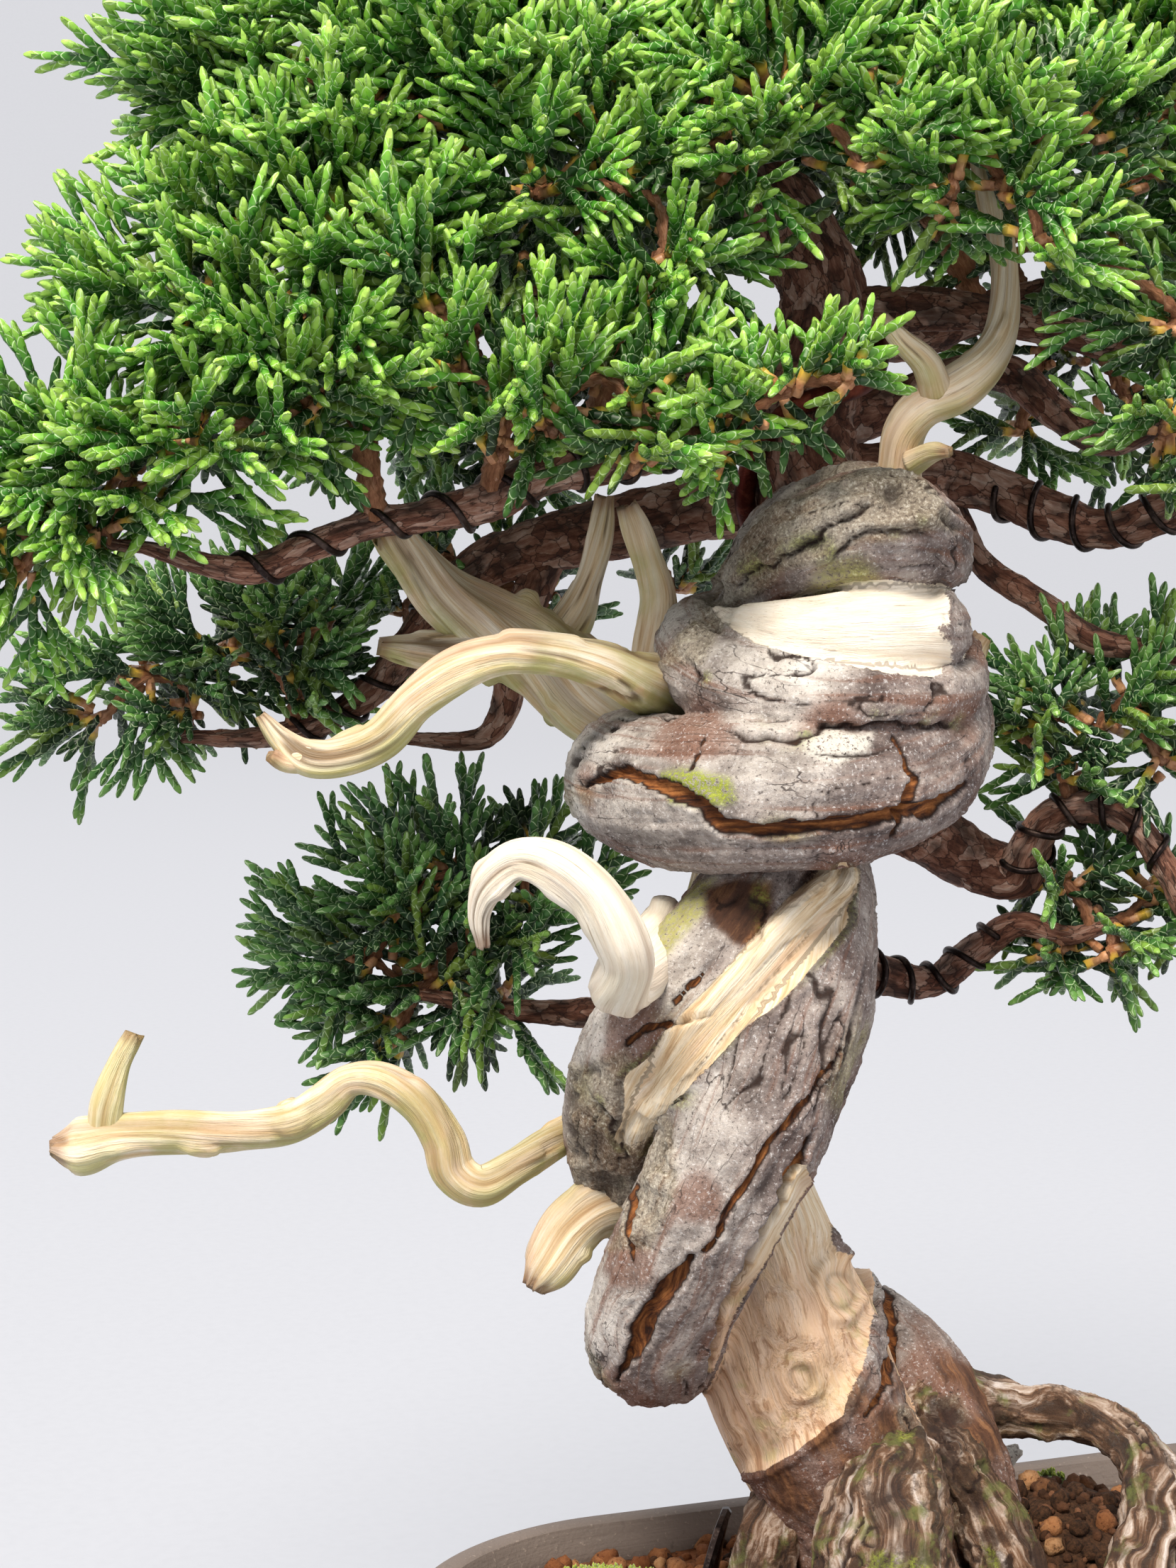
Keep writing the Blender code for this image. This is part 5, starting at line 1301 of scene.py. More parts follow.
@dataclass
class Trunk:
    """The twisted trunk with its live veins and carved deadwood, and the roots it stands on."""

    trunk_voxel: float = 0.5
    root_voxel: float = 0.5
    sample: float = 1.5
    tube_sides: int = 28
    bark_relief: float = 0.4
    groove_depth: float = 1.3
    lip: float = 0.5
    finish: TrunkWood = field(default_factory=TrunkWood)

    def trace(self, names: Sequence[str], points: Rows) -> Grown:
        """Find which strand each point belongs to and how it runs there.

        Args:
            names: strands of this skin.
            points: places on the skin.

        Returns:
            The grain's coordinate, and how dead and how root-like the wood is.
        """
        best = np.full(len(points), 1e9)
        fibre = np.zeros((len(points), 3))
        total, dead, rooty = np.zeros(len(points)), np.zeros(len(points)), np.zeros(len(points))
        for order, name in enumerate(names):
            path = strand_path(name, self.sample)
            tangents, side, up = frames_along(path)
            run = sum_of_steps(path)
            square = (points**2).sum(1)[:, None] - 2 * points @ path[:, :3].T + (path[:, :3] ** 2).sum(1)
            near = square.argmin(1)
            gap = points - path[near, :3]
            along = (gap * tangents[near]).sum(1)
            score = norm(gap, axis=1) - path[near, 3]
            weight = np.exp(-np.clip(score, -6.0, 30.0) / 0.45)
            total += weight
            dead += weight * (STRANDS[name][0] is DEAD)
            rooty += weight * (STRANDS[name][0] is ROOT)
            closer = score < best
            best = np.where(closer, score, best)
            here = np.stack([run[near] + along + 40.0 * order, (gap * side[near]).sum(1) + 9.0 * order,
                             (gap * up[near]).sum(1)], axis=1)
            fibre[closer] = here[closer]
        return Grown(fibre, dead / total, rooty / total)

    def work(self, points: Rows, normals: Rows, grown: Grown) -> tuple[Rows, dict[str, Rows]]:
        """Carve and weather a skin.

        Args:
            points: places on the skin.
            normals: outward directions.
            grown: what trace found.

        Returns:
            The height to move each point by, and the paint.
        """
        flat, front = seen_from_front(points, normals)
        tall = points[:, 2]
        wobble = np.stack([noise(points / 4.0, 3), noise(points / 4.0, 4)], axis=1) * 0.7
        flat = flat + 0.6 * wobble
        fibre = grown.fibre.copy()
        swirl = front * ease(112, 100, tall)
        fibre[:, 1] += swirl * (2.6 * noise(points / 7.0, 15) + 0.9 * noise(points / 2.6, 16))
        height = np.zeros(len(points))
        zero = np.zeros(len(points))
        paint = dict.fromkeys(("crack", "algae", "peel", "mossy", "lichen", "gnarl"), zero)
        dead = grown.dead.copy()
        dead = np.maximum(dead * (1 - 0.8 * front * ease(128, 118, tall)), 0.0)
        wrapped = front * ease(-19.5, -17.5, flat[:, 0] + 1.2 * noise(points / 2.5, 17)) * ease(
            178, 184, flat[:, 1]) * ease(204, 200, flat[:, 1])
        dead *= 1 - wrapped
        height += 0.9 * wrapped
        for outline in PATCHES["dead"]:
            inside = depth_in_patch(flat, read_rows(outline))
            dead = np.maximum(dead, front * ease(-0.4, 0.4, inside))
            height -= front * 0.7 * ease(-0.2, 1.6, inside)
            height += front * self.lip * bell(inside, -0.8, 0.6)
        strip = distance_to_line(flat, SHARI_STRIP)
        ends = np.array([SHARI_STRIP[0], SHARI_STRIP[-1]], float)
        taper = np.clip(norm(flat[:, None] - ends, axis=2).min(1) / 9.0, 0.25, 1.0)
        width = 3.3 * taper
        dead = np.maximum(dead, front * ease(width + 0.5, width - 0.5, strip))
        height -= front * self.groove_depth * ease(width + 0.3, width - 2.2, strip)
        height += front * 0.75 * bell(strip - width, 0.9, 0.8)
        for lift, line in SHELVES:
            beyond, near = past_edge(flat, read_rows(line))
            beyond = beyond + 0.7 * noise(points / 1.7, 93)
            near = near * front
            height += near * lift * ease(-0.15, 0.2, beyond) * np.exp(-np.maximum(beyond, 0) / 3.5)
            # The groove under each overhanging edge is sunk and painted dark as shade, in the same paint as
            # the cracks.
            under = near * bell(beyond, -0.45, 0.4)
            height -= 0.5 * lift * under
            lift_paint(paint, "mossy", 0.6 * near * ease(0.1, 0.5, noise(
                points / 3.0, 91)) * bell(beyond, 0, 1.3))
            lift_paint(paint, "crack", 0.5 * under)
        for key in ("algae", "peel", "mossy", "lichen", "gnarl"):
            for outline in PATCHES["moss" if key == "mossy" else key]:
                inside = depth_in_patch(flat, read_rows(outline))
                lift_paint(paint, key, front * ease(-0.8, 0.8, inside + wobble[:, 0]))
        flakes = fractal(points / (5.5, 5.5, 3.4), 3, 101) * 3.0
        height += paint["gnarl"] * (0.55 * (np.floor(flakes) + ease(0.7, 0.98, flakes % 1.0)) + 0.3)
        height -= 0.35 * paint["peel"]
        height += 0.4 * paint["mossy"] + 0.22 * paint["lichen"]
        for wide, deep, text in CRACKS.values():
            line = read_rows(text)
            gap = distance_to_line(flat, line) + 0.35 * noise(points / 1.3, 9)
            tips = norm(flat[:, None] - np.array((line[0], line[-1]), float), axis=2).min(1)
            half = wide * np.clip(tips / 6.0, 0.15, 1.0) * (0.5 + 0.3 * noise(points / 2.8, 13))
            split = front * ease(half + 0.38, half - 0.08, gap) * ease(-0.4, 0.6, tips)
            height -= deep * split
            height += front * 0.28 * bell(gap - half, 0.7, 0.55) * ease(0.0, 2.0, tips)
            lift_paint(paint, "crack", split)
        for x, z, size in KNOTS:
            gap = np.hypot(flat[:, 0] - x, (flat[:, 1] - z) * 0.85)
            fibre[:, 1] += front * 5.0 * bell(gap, 0, 1.6 * size)
            height += front * (0.9 * bell(gap, size, 0.9) + 0.5 * bell(gap, 0, 0.5 * size))
            # The trough round each knot is painted dark as shade, in the same paint as the cracks.
            lift_paint(paint, "crack", 0.55 * front * bell(gap, 0.62 * size, 0.35))
        alive = 1.0 - ease(0.4, 0.6, dead)
        rim = bell(dead, 0.35, 0.16) * ease(0.0, 0.1, dead)
        height += 0.42 * rim
        # Veins split along the grain where the bark has dried, most on the sides that face away.
        seam = np.abs(noise(fibre * (0.045, 0.2, 0.2), 21) + 0.35 * noise(fibre * (0.25, 0.6, 0.6), 22))
        where = ease(0.05, 0.4, noise(points / 11.0, 23)) * (1 - 0.5 * front)
        split = ease(0.07, 0.015, seam) * where * alive
        height -= 0.8 * split
        lift_paint(paint, "crack", 0.9 * split)
        plates = fractal(fibre * (0.16, 0.42, 0.42), 3, 31)
        part = plates * 3.0 - np.floor(plates * 3.0)
        terrace = (np.floor(plates * 3.0) + ease(0.78, 0.98, part)) / 3.0
        lines = fractal(fibre * (0.07, 0.9, 0.9), 3, 37)
        scurf = fractal(points / 1.3, 3, 41)
        height += alive * self.bark_relief * (1.1 * terrace + 0.8 * lines + 0.5 * scurf)
        edge = alive * bell(part, 0.8, 0.05) * ease(0.0, 0.4, noise(points / 7.0, 43))
        ribs = fractal(fibre * (0.05, 0.34, 0.34), 2, 61)
        knurl = fractal(points / 4.5, 3, 63)
        height += grown.rooty * alive * (1.0 * ribs + 0.3 * lines + 0.8 * knurl)
        bleach = ease(176, 186, tall)
        grain = fractal(fibre * (0.05, 0.75, 0.75), 3, 47)
        check = ease(0.06, 0.0, np.abs(noise(fibre * (0.04, 0.5, 0.5), 53)))
        check *= ease(0.1, 0.5, noise(fibre * (0.03, 0.12, 0.12), 57))
        height += (1 - alive) * swirl * (1.9 * fractal(points / (8.0, 8.0, 11.0), 2, 49) + 0.5 * noise(
            fibre * (0.09, 0.32, 0.32), 50))
        height += (1 - alive) * (0.26 * grain * (1 - 0.5 * bleach) - 0.3 * check)
        lift_paint(paint, "crack", (1 - alive) * 0.5 * check)
        low = ease(92, 70, tall)
        paint["warm"] = np.clip(0.9 * low + ease(0.15, 0.6, noise(points / 9.0, 71)), 0, 1)
        # Partly painted light: the bark is paler on faces that turn up and to the left, towards the key lamp,
        # as well as in broad patches of pale scurf.
        paint["pale"] = ease(-0.35, 0.75, 0.3 * normals[:, 2] - 0.45 * normals[:, 0] + 0.75 * fractal(
            points / 14.0, 2, 75)) * (1 - 0.8 * low)
        paint["flesh"] = ease(112, 96, tall)
        damp = ease(0.15, 0.55, noise(points / 11.0, 73)) * ease(0.2, -0.5, normals[:, 2])
        lift_paint(paint, "algae", 0.75 * damp)
        fold = ease(0.25, 0.6, noise(points / 6.0, 79)) * grown.rooty * ease(-0.1, -0.5, ribs)
        lift_paint(paint, "mossy", fold)
        edge = bell(strip - width, 0.4, 0.5) * front * ease(0.0, 2.0, strip)
        lift_paint(paint, "mossy", 0.5 * edge * ease(-0.2, 0.4, noise(points / 5.0, 83)))
        # Painted shade: bark is darkened where the surface is carved down and along the edge of the shari
        # strip.
        sunk = np.clip(np.clip(-height * 1.1, 0, 1) + 0.7 * edge, 0.0, 1.0)
        paint["hollow"] = sunk * alive * (1 - paint["crack"])
        paint["bleach"] = bleach
        lift_paint(paint, "peel", ease(90, 82, tall) * (1 - grown.rooty) * ease(
            -0.5, 0.3, noise(points / 5.0, 97)))
        paint.update(dead=dead, rooty=grown.rooty, fibre=fibre)
        return height, paint

    def skin(self, title: str, names: Sequence[str], voxel: float, replaces: Sequence[str],
             heights: Pair = (0.0, 400.0)) -> Object:
        """Weld, carve and finish one run of strands.

        Args:
            title: the piece's name.
            names: its strands.
            voxel: edge of its quads in millimetres.
            replaces: solids of the row that it stands for.
            heights: the lowest and highest centre that is used.

        Returns:
            The piece.
        """
        tubes = []
        for name in names:
            path = strand_path(name, self.sample)
            if name == "shari_strip":
                path = path + (0.0, 1.6, 0.0, 0.0)
            path = path[(path[:, 2] > heights[0]) & (path[:, 2] < heights[1])]
            points, _, _, quads = sweep(path, self.tube_sides)
            tubes.append((points, quads))
        points, normals, quads = fuse(tubes, voxel)
        height, paint = self.work(points, normals, self.trace(names, points))
        draft = Draft()
        draft.add(points + normals * height[:, None], quads, paint)
        return draft.piece(title, self.material, "trunk_wood", replaces)

    def build(self) -> list[Object]:
        """Make the trunk and its roots.

        Returns:
            The pieces.
        """
        self.material = self.finish.make()
        roots = [name for name in BODY if name.startswith("root")]
        twist = ["core", "vein_front", "vein_left", "shari_strip", "vein_right_edge"]
        rolls = [name for name in BODY if name not in (*roots, *twist)] + ["core"]
        return [self.skin("twisted_trunk", twist, self.trunk_voxel, ["trunk"], (0.0, 175.0)),
                self.skin("trunk_rolls", rolls, self.trunk_voxel, [], (150.0, 400.0)),
                self.skin("surface_roots", roots, self.root_voxel, [])]


@dataclass
class BareBranches:
    """Dead branches left on the trunk, stripped and carved along the grain."""

    sides: int = 40
    step: float = 0.5
    ribs: float = 0.2
    finish: Deadwood = field(default_factory=Deadwood)
    bleached: tuple[str, ...] = ("jin_hook",)

    def carve(self, name: str, draft: Draft) -> None:
        """Add one bare branch.

        Args:
            name: its strand.
            draft: what it is added to.
        """
        path = strand_path(name, self.step)
        seed = seed_of(name)
        run = np.arange(len(path)) * self.step
        path[:, 3] *= 1 + 0.06 * noise(np.stack([run / 7.0, run * 0, run * 0], axis=1), seed)
        points, out, fibre, quads = sweep(path, self.sides, rounded=False, twist=0.035)
        length, wide = run[-1], np.repeat(path[:, 3], self.sides)
        grain = fractal(fibre * (0.06, 0.75, 0.75), 3, seed)
        long_rib = noise(fibre * (0.03, 0.42, 0.42), seed + 1)
        split = ease(0.09, 0.02, np.abs(noise(fibre * (0.035, 0.55, 0.55), seed + 2)))
        split *= ease(-0.1, 0.3, noise(fibre * (0.05, 0.1, 0.1), seed + 3))
        knob = ease(0.45, 0.75, noise(fibre * (0.16, 0.3, 0.3), seed + 7))
        height = wide * (0.55 * self.ribs * grain + self.ribs * long_rib + 0.28 * knob) + 0.14 * grain
        height -= (0.16 + 0.08 * wide) * split
        end = ease(length - 2.2, length, fibre[:, 0])
        torn = noise(np.stack([fibre[:, 1] * 1.4, fibre[:, 2] * 1.4, fibre[:, 0] * 0.1], axis=1), seed + 4)
        tangents, _, _ = frames_along(path)
        way = np.repeat(tangents, self.sides, axis=0)
        points = points + out * height[:, None] + way * (end * torn * 0.55 * wide)[:, None]
        points += out * (-0.12 * wide * end)[:, None]
        below = ease(0.1, -0.7, out[:, 2])
        damp = np.clip(below * 0.9 + ease(0.0, 0.5, noise(points / 9.0, seed + 5)) * 0.6, 0, 1)
        pale = 1.0 if name in self.bleached else 0.0
        # The low parts of the grain are painted dark as shade.
        draft.add(points, quads, {
            "fibre": fibre + (23.0 * (seed % 17), 0, 0), "algae": damp * (1 - 0.8 * pale), "crack": split,
            "hollow": np.clip(-1.6 * grain, 0, 1), "bleach": np.full(len(points), pale), "broken": end})

    def build(self) -> list[Object]:
        """Make the bare branches, one piece each.

        Returns:
            The pieces.
        """
        material = self.finish.make()
        pieces = []
        for name in JINS:
            draft = Draft()
            self.carve(name, draft)
            pieces.append(draft.piece(name, material, "trunk_wood"))
        return pieces


@dataclass
class LiveBranches:
    """The live top of the trunk and the wired branches, all in flaking bark."""

    sides: int = 28
    step: float = 0.55
    flake: float = 0.36
    finish: FlakyBark = field(default_factory=FlakyBark)

    def cover(self, name: str, sides: int) -> Draft:
        """Draw one branch with its bark.

        Args:
            name: its strand.
            sides: points round it.

        Returns:
            The drawing.
        """
        path = strand_path(name, self.step)
        seed = seed_of(name)
        points, out, fibre, quads = sweep(path, sides)
        plates = fractal(fibre * (0.3, 0.62, 0.62), 3, seed)
        step = plates * 4.0 - np.floor(plates * 4.0)
        terrace = (np.floor(plates * 4.0) + ease(0.6, 0.95, step)) / 4.0
        slim = np.clip(path[:, 3].mean() / 3.0, 0.45, 1.6)
        height = slim * (self.flake * terrace * 1.3 + 0.1 * fractal(points / 0.9, 2, seed + 1))
        # Painted shade: the low steps between bark plates are darkened.
        hollow = ease(-0.1, -0.5, terrace)
        draft = Draft()
        draft.add(points + out * height[:, None], quads, {
            "fibre": fibre + (31.0 * (seed % 13), 0, 0), "hollow": hollow, "young": np.zeros(len(points))})
        return draft

    def build(self) -> list[Object]:
        """Make the branches and the trunk's live top.

        Returns:
            The pieces.
        """
        self.material = self.finish.make()
        pieces = [self.cover("trunk_top", 72).piece("live_top", self.material, "branch_bark")]
        for name in STEMS:
            drawn = self.cover(name, self.sides)
            pieces.append(drawn.piece(f"{name}_bark", self.material, "branch_bark", [name]))
        return pieces


@dataclass(frozen=True)
class Winding:
    """One run of wire wound round a strand."""

    strand: str
    start: float
    end: float
    turns: float
    gauge: float
    phase: float = 0.0
    lift: float = 0.0


@dataclass
class Wires:
    """Training wire on the branches, old copper wire on the trunk's top, and the tie that holds the roots."""

    per_turn: int = 40
    sides: int = 12
    bite: float = 0.25
    runs: dict[str, Winding] = field(default_factory=lambda: {
        "wire_left_front": Winding("branch_left_front", 0.12, 0.86, 9, 0.5),
        "wire_left_back": Winding("branch_left_back", 0.46, 0.86, 6, 0.5),
        "wire_right_low": Winding("branch_right_low", 0.52, 0.92, 6, 0.5),
        "wire_right_mid": Winding("branch_right_mid", 0.32, 0.80, 6, 0.5),
        "wire_right_under": Winding("branch_right_under", 0.12, 0.70, 6, 0.5),
        "copper_wire_trunk": Winding("trunk_top", 0.08, 0.34, 0.62, 1.6, 1.9, 0.5),
    })
    black: BlackWire = field(default_factory=BlackWire)
    copper: CopperWire = field(default_factory=CopperWire)

    def helix(self, run: Winding) -> Rows:
        """The wire's own centreline.

        Args:
            run: how it is wound.

        Returns:
            Rows of x, y, z, radius.
        """
        path = strand_path(run.strand, 0.5)
        _, side, up = frames_along(path)
        place = np.linspace(0, 1, len(path))
        share = np.linspace(run.start, run.end, int(abs(run.turns) * self.per_turn) + 1)
        parts = [np.interp(share, place, column) for column in (*path.T[:4], *side.T, *up.T)]
        centre, radius = np.stack(parts[:3], 1), parts[3]
        side, up = np.stack(parts[4:7], 1), np.stack(parts[7:10], 1)
        angle = run.phase + 2 * math.pi * run.turns * (share - run.start) / (run.end - run.start)
        reach = radius + run.lift + run.gauge - self.bite + 0.12 * noise(
            np.stack([share * 90, share * 0, share * 0], axis=1), 5)
        line = centre + reach[:, None] * (np.cos(angle)[:, None] * side + np.sin(angle)[:, None] * up)
        return np.column_stack([line, np.full(len(line), run.gauge)])

    def build(self) -> list[Object]:
        """Make every wire.

        Returns:
            The pieces.
        """
        black, copper = self.black.make(), self.copper.make()
        pieces = []
        for name, run in self.runs.items():
            thick = run.gauge > 1.0
            points, _, _, quads = sweep(self.helix(run), 20 if thick else self.sides)
            draft = Draft()
            draft.add(points, quads)
            finish, slot = (copper, "copper_wire") if thick else (black, "black_wire")
            pieces.append(draft.piece(f"{name}_wound", finish, slot, [name]))
        for name in ("tie_down_wire", "mesh_clip_left", "mesh_clip_right"):
            dress(name, black)
        return pieces


def dress(name: str, material: Material) -> Object:
    """Give a solid of the row a finish and leave its shape alone.

    Args:
        name: the solid's name.
        material: its finish.

    Returns:
        The solid.
    """
    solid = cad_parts[name]
    if not solid.material_slots:
        solid.data.materials.append(material)
    for place in solid.material_slots:
        place.material = material
    return solid


class Cord(NamedTuple):
    """One cord of foliage: where it starts and heads, its bend by its end, and where its spray's flat faces.

    Its numbers are its length and radius, how much of it is woody, and its depth in the pad at root and tip,
    which sets how much shade is painted on it.
    """

    start: Rows
    heading: Rows
    bend: Rows
    facing: Rows
    numbers: tuple[float, ...]


@dataclass(frozen=True)
class Habit:
    """How one pad grows: how dark its green is, as older foliage and as painted shade on the rear and lower
    pads, and which way it leans.
    """

    age: float = 0.0
    lean: Triple = (0.0, -0.25, 0.45)
    thick: float = 1.0


@dataclass
class Foliage:
    """Pads of scale-leaved sprays and the twigs that carry them."""

    sides: int = 6
    ring: float = 0.75
    cord: float = 0.73
    per_area: float = 14.0
    reserve: float = 3.0
    shortest: float = 6.0
    inner_shade: float = 0.75
    finish: JuniperScale = field(default_factory=JuniperScale)
    habits: dict[str, Habit] = field(default_factory=lambda: {
        "mid_left_rear": Habit(0.8, (-0.35, -0.1, 0.15)),
        "small_rear": Habit(0.9, (-0.3, 0.0, 0.2)),
        "low_left_rear": Habit(0.9, (-0.5, -0.1, 0.1)),
        "right_mid": Habit(0.75, (0.2, -0.1, 0.2), 0.8),
        "right_low": Habit(0.8, (0.2, -0.1, -0.1), 0.8),
        "back_left": Habit(0.8, (-0.2, 0.2, 0.3)),
        "back_right": Habit(0.7, (0.2, 0.2, 0.3)),
        "crown_back": Habit(0.6, (0.0, 0.4, 0.4)),
        "right_edge": Habit(0.45, (0.3, -0.2, 0.2)),
        "left_front": Habit(0.0, (-0.3, -0.35, -0.12), 1.15),
        "mid_tip": Habit(0.0, (-0.45, -0.2, 0.4), 0.5),
        "mid_front": Habit(0.0, (-0.2, -0.25, 0.6), 0.75),
        "center_front": Habit(0.0, (0.0, -0.25, 0.5), 0.8),
        "left_upper": Habit(0.0, (-0.3, -0.3, 0.3)),
        "left_top": Habit(0.1, (-0.3, -0.2, 0.4)),
    })

    def twigs(self, name: str, draft: Draft) -> list[Rows]:
        """Grow twigs from the nearest wood to every clump of a pad.

        Args:
            name: the pad.
            draft: what the twigs are added to.

        Returns:
            Where each clump's sprays spring from.
        """
        seed = seed_of(name)
        rng = np.random.default_rng(seed)
        wood = np.concatenate([strand_path(s, 3.0)[1:] for s in (*STEMS, "trunk_top")])
        wide = list(wood[:, 3])
        joined = list(wood[:, :3])
        clumps = read_rows(PADS[name])
        middle = clumps[:, :3].mean(0)
        seats = []
        for x, y, z, r in clumps:
            inward = middle - (x, y, z)
            inward /= max(norm(inward), 1.0)
            seats.append(np.array((x, y, z)) + r * (0.25 * inward + np.array((0, 0.05, -0.28))))
        waiting = list(range(len(seats)))
        while waiting:
            known = np.array(joined)
            gaps = [norm(known - seats[i], axis=1) for i in waiting]
            nearest = [g.min() for g in gaps]
            pick = int(np.argmin(nearest))
            i, k = waiting.pop(pick), int(gaps[pick].argmin())
            start, end = known[k], seats[i]
            sag = np.array((0, 0, 0.12 * nearest[pick])) + rng.normal(0, 0.06 * nearest[pick] + 0.2, 3)
            thick = min(wide[k] * 0.9, 1.3 + 0.022 * nearest[pick])
            line = smooth_path([(*start, thick), (*((start * 2 + end) / 3 + sag), thick * 0.95),
                                (*((start + end * 2) / 3 + sag * 0.8), thick * 0.88), (*end, 0.95)], 0.6)
            points, out, fibre, quads = sweep(line, 14)
            shed = noise(fibre * (0.5, 0.9, 0.9), seed + i)
            scale = ease(0.1, 0.9, np.mod(fibre[:, 0] / 1.9 + 0.8 * shed, 1.0))
            points = points + out * (0.42 * (scale - 0.5) + 0.2 * shed)[:, None]
            # The gaps between the twig's bark scales are painted dark as shade.
            draft.add(points, quads, {"fibre": fibre * 1.3 + (57.0 * i, 0, 0), "hollow": 0.4 * (1 - scale),
                                      "young": np.full(len(points), 0.9)})
            joined.extend(list(line[::3, :3]))
            wide.extend(list(line[::3, 3]))
        return seats

    def sprays(self, name: str, seats: Sequence[Rows]) -> list[Cord]:
        """Fan sprays out of a pad's clumps.

        Args:
            name: the pad.
            seats: where each clump's sprays spring from.

        Returns:
            The cords.
        """
        habit = self.habits.get(name, Habit())
        rng = np.random.default_rng(7 + seed_of(name))
        clumps = read_rows(PADS[name])
        middle = clumps[:, :3].mean(0)
        reach = np.abs(clumps[:, :3] - middle).max(0) + 8.0
        cords: list[Cord] = []
        for (x, y, z, r), seat in zip(clumps, seats):
            outward = ((x, y, z) - middle) / reach
            count = max(4, int(round(r * r / self.per_area * habit.thick)))
            for k in range(count):
                height = 1.0 - (k + 0.5) * 1.75 / count
                turn = k * GOLDEN_TURN + rng.uniform(-0.4, 0.4)
                flat = math.sqrt(max(0.0, 1 - height * height))
                ball = np.array((flat * math.cos(turn), flat * math.sin(turn), height * 0.8))
                heading = ball + 0.9 * outward + np.array(habit.lean) + rng.normal(0, 0.12, 3)
                heading /= norm(heading)
                length = r * rng.uniform(1.2, 1.65) + 4.0
                root = seat + heading * 0.1 * r + rng.normal(0, 0.12 * r, 3)
                length = min(length, self.room(root, heading))
                if length < self.shortest:
                    continue
                self.spray(cords, rng, root, heading, length, 0.0)
            for _ in range(count // 2):
                heading = rng.normal(0, 1, 3) + 0.5 * outward + (0, 0, -0.2)
                heading /= norm(heading)
                root = seat + rng.normal(0, 0.22 * r, 3)
                length = min(r * rng.uniform(0.9, 1.3) + 3.0, self.room(root, heading))
                if length > self.shortest:
                    self.spray(cords, rng, root, heading, length, self.inner_shade)
        return cords

    def room(self, root: Rows, heading: Rows) -> float:
        """How long a spray may be before it leaves the tree's own box.

        Args:
            root: where it starts.
            heading: its direction.

        Returns:
            The length.
        """
        place, way = root @ INTO_ROW, heading @ INTO_ROW
        low, high = (np.array(corner) / MM for corner in self.limits)
        far = np.where(way > 0, high + self.reserve - place, low - self.reserve - place)
        return float(np.min(far / np.where(np.abs(way) < 0.15, np.sign(way) * 0.15 + 1e-9, way)))

    def spray(self, cords: list[Cord], rng: np.random.Generator, root: Rows, heading: Rows, length: float,
              shade: float) -> None:
        """Add one flat spray: a leading cord, side cords on alternate sides, and a few on those.

        Args:
            cords: where the cords go.
            rng: the pad's own chance.
            root: where the spray starts.
            heading: its direction.
            length: of its leading cord.
            shade: how deep in the pad the whole spray lies.
        """
        flat = np.cross(heading, rng.normal(0, 1, 3))
        flat /= norm(flat)
        wing = np.cross(flat, heading)
        bend = wing * rng.uniform(-0.2, 0.2) + np.array((0, 0, 0.12)) + flat * rng.uniform(-0.12, 0.12)
        cords.append(Cord(root, heading, bend, flat, (length, self.cord * 1.04, 5.5, 1.0, shade)))
        number = int(round(length / 3.0))
        gap = length * 0.78 / number
        for k in range(number):
            run = length * 0.16 + gap * (k + rng.uniform(-0.25, 0.25))
            share = run / length
            at = root + heading * run + bend * share * run * 0.5
            way = heading + bend * share
            way /= norm(way)
            side = wing * (1 if k % 2 else -1)
            open_angle = math.radians(rng.uniform(27, 42))
            turned = way * math.cos(open_angle) + side * math.sin(open_angle)
            turned = turned + flat * rng.uniform(-0.28, 0.28)
            turned /= norm(turned)
            reach = (4.2 + 0.52 * length * (1 - share) ** 0.8) * rng.uniform(0.75, 1.2)
            curl = way * 0.22 + flat * rng.uniform(-0.15, 0.15)
            cords.append(Cord(at, turned, curl, flat, (
                reach, self.cord * 0.98, 0.0, max(shade, 1 - share * 0.8), max(shade, 0.3 * (1 - share)))))
            if reach < 7.5:
                continue
            for m in range(2 if reach > 11.0 else 1):
                part = 0.4 + 0.26 * m + rng.uniform(-0.06, 0.06)
                spot = at + turned * reach * part + curl * reach * part * part * 0.5
                lean = side * (1 if (m + k) % 2 else -1)
                small = turned + curl * part + 0.5 * (lean - turned * (lean @ turned))
                small = small + flat * rng.uniform(-0.25, 0.25)
                small /= norm(small)
                cords.append(Cord(spot, small, turned * 0.3, flat, (
                    reach * rng.uniform(0.36, 0.5) + 0.8, self.cord * 0.93, 0.0,
                    max(shade, 0.6 * (1 - share)), max(shade, 0.2 * (1 - share)))))

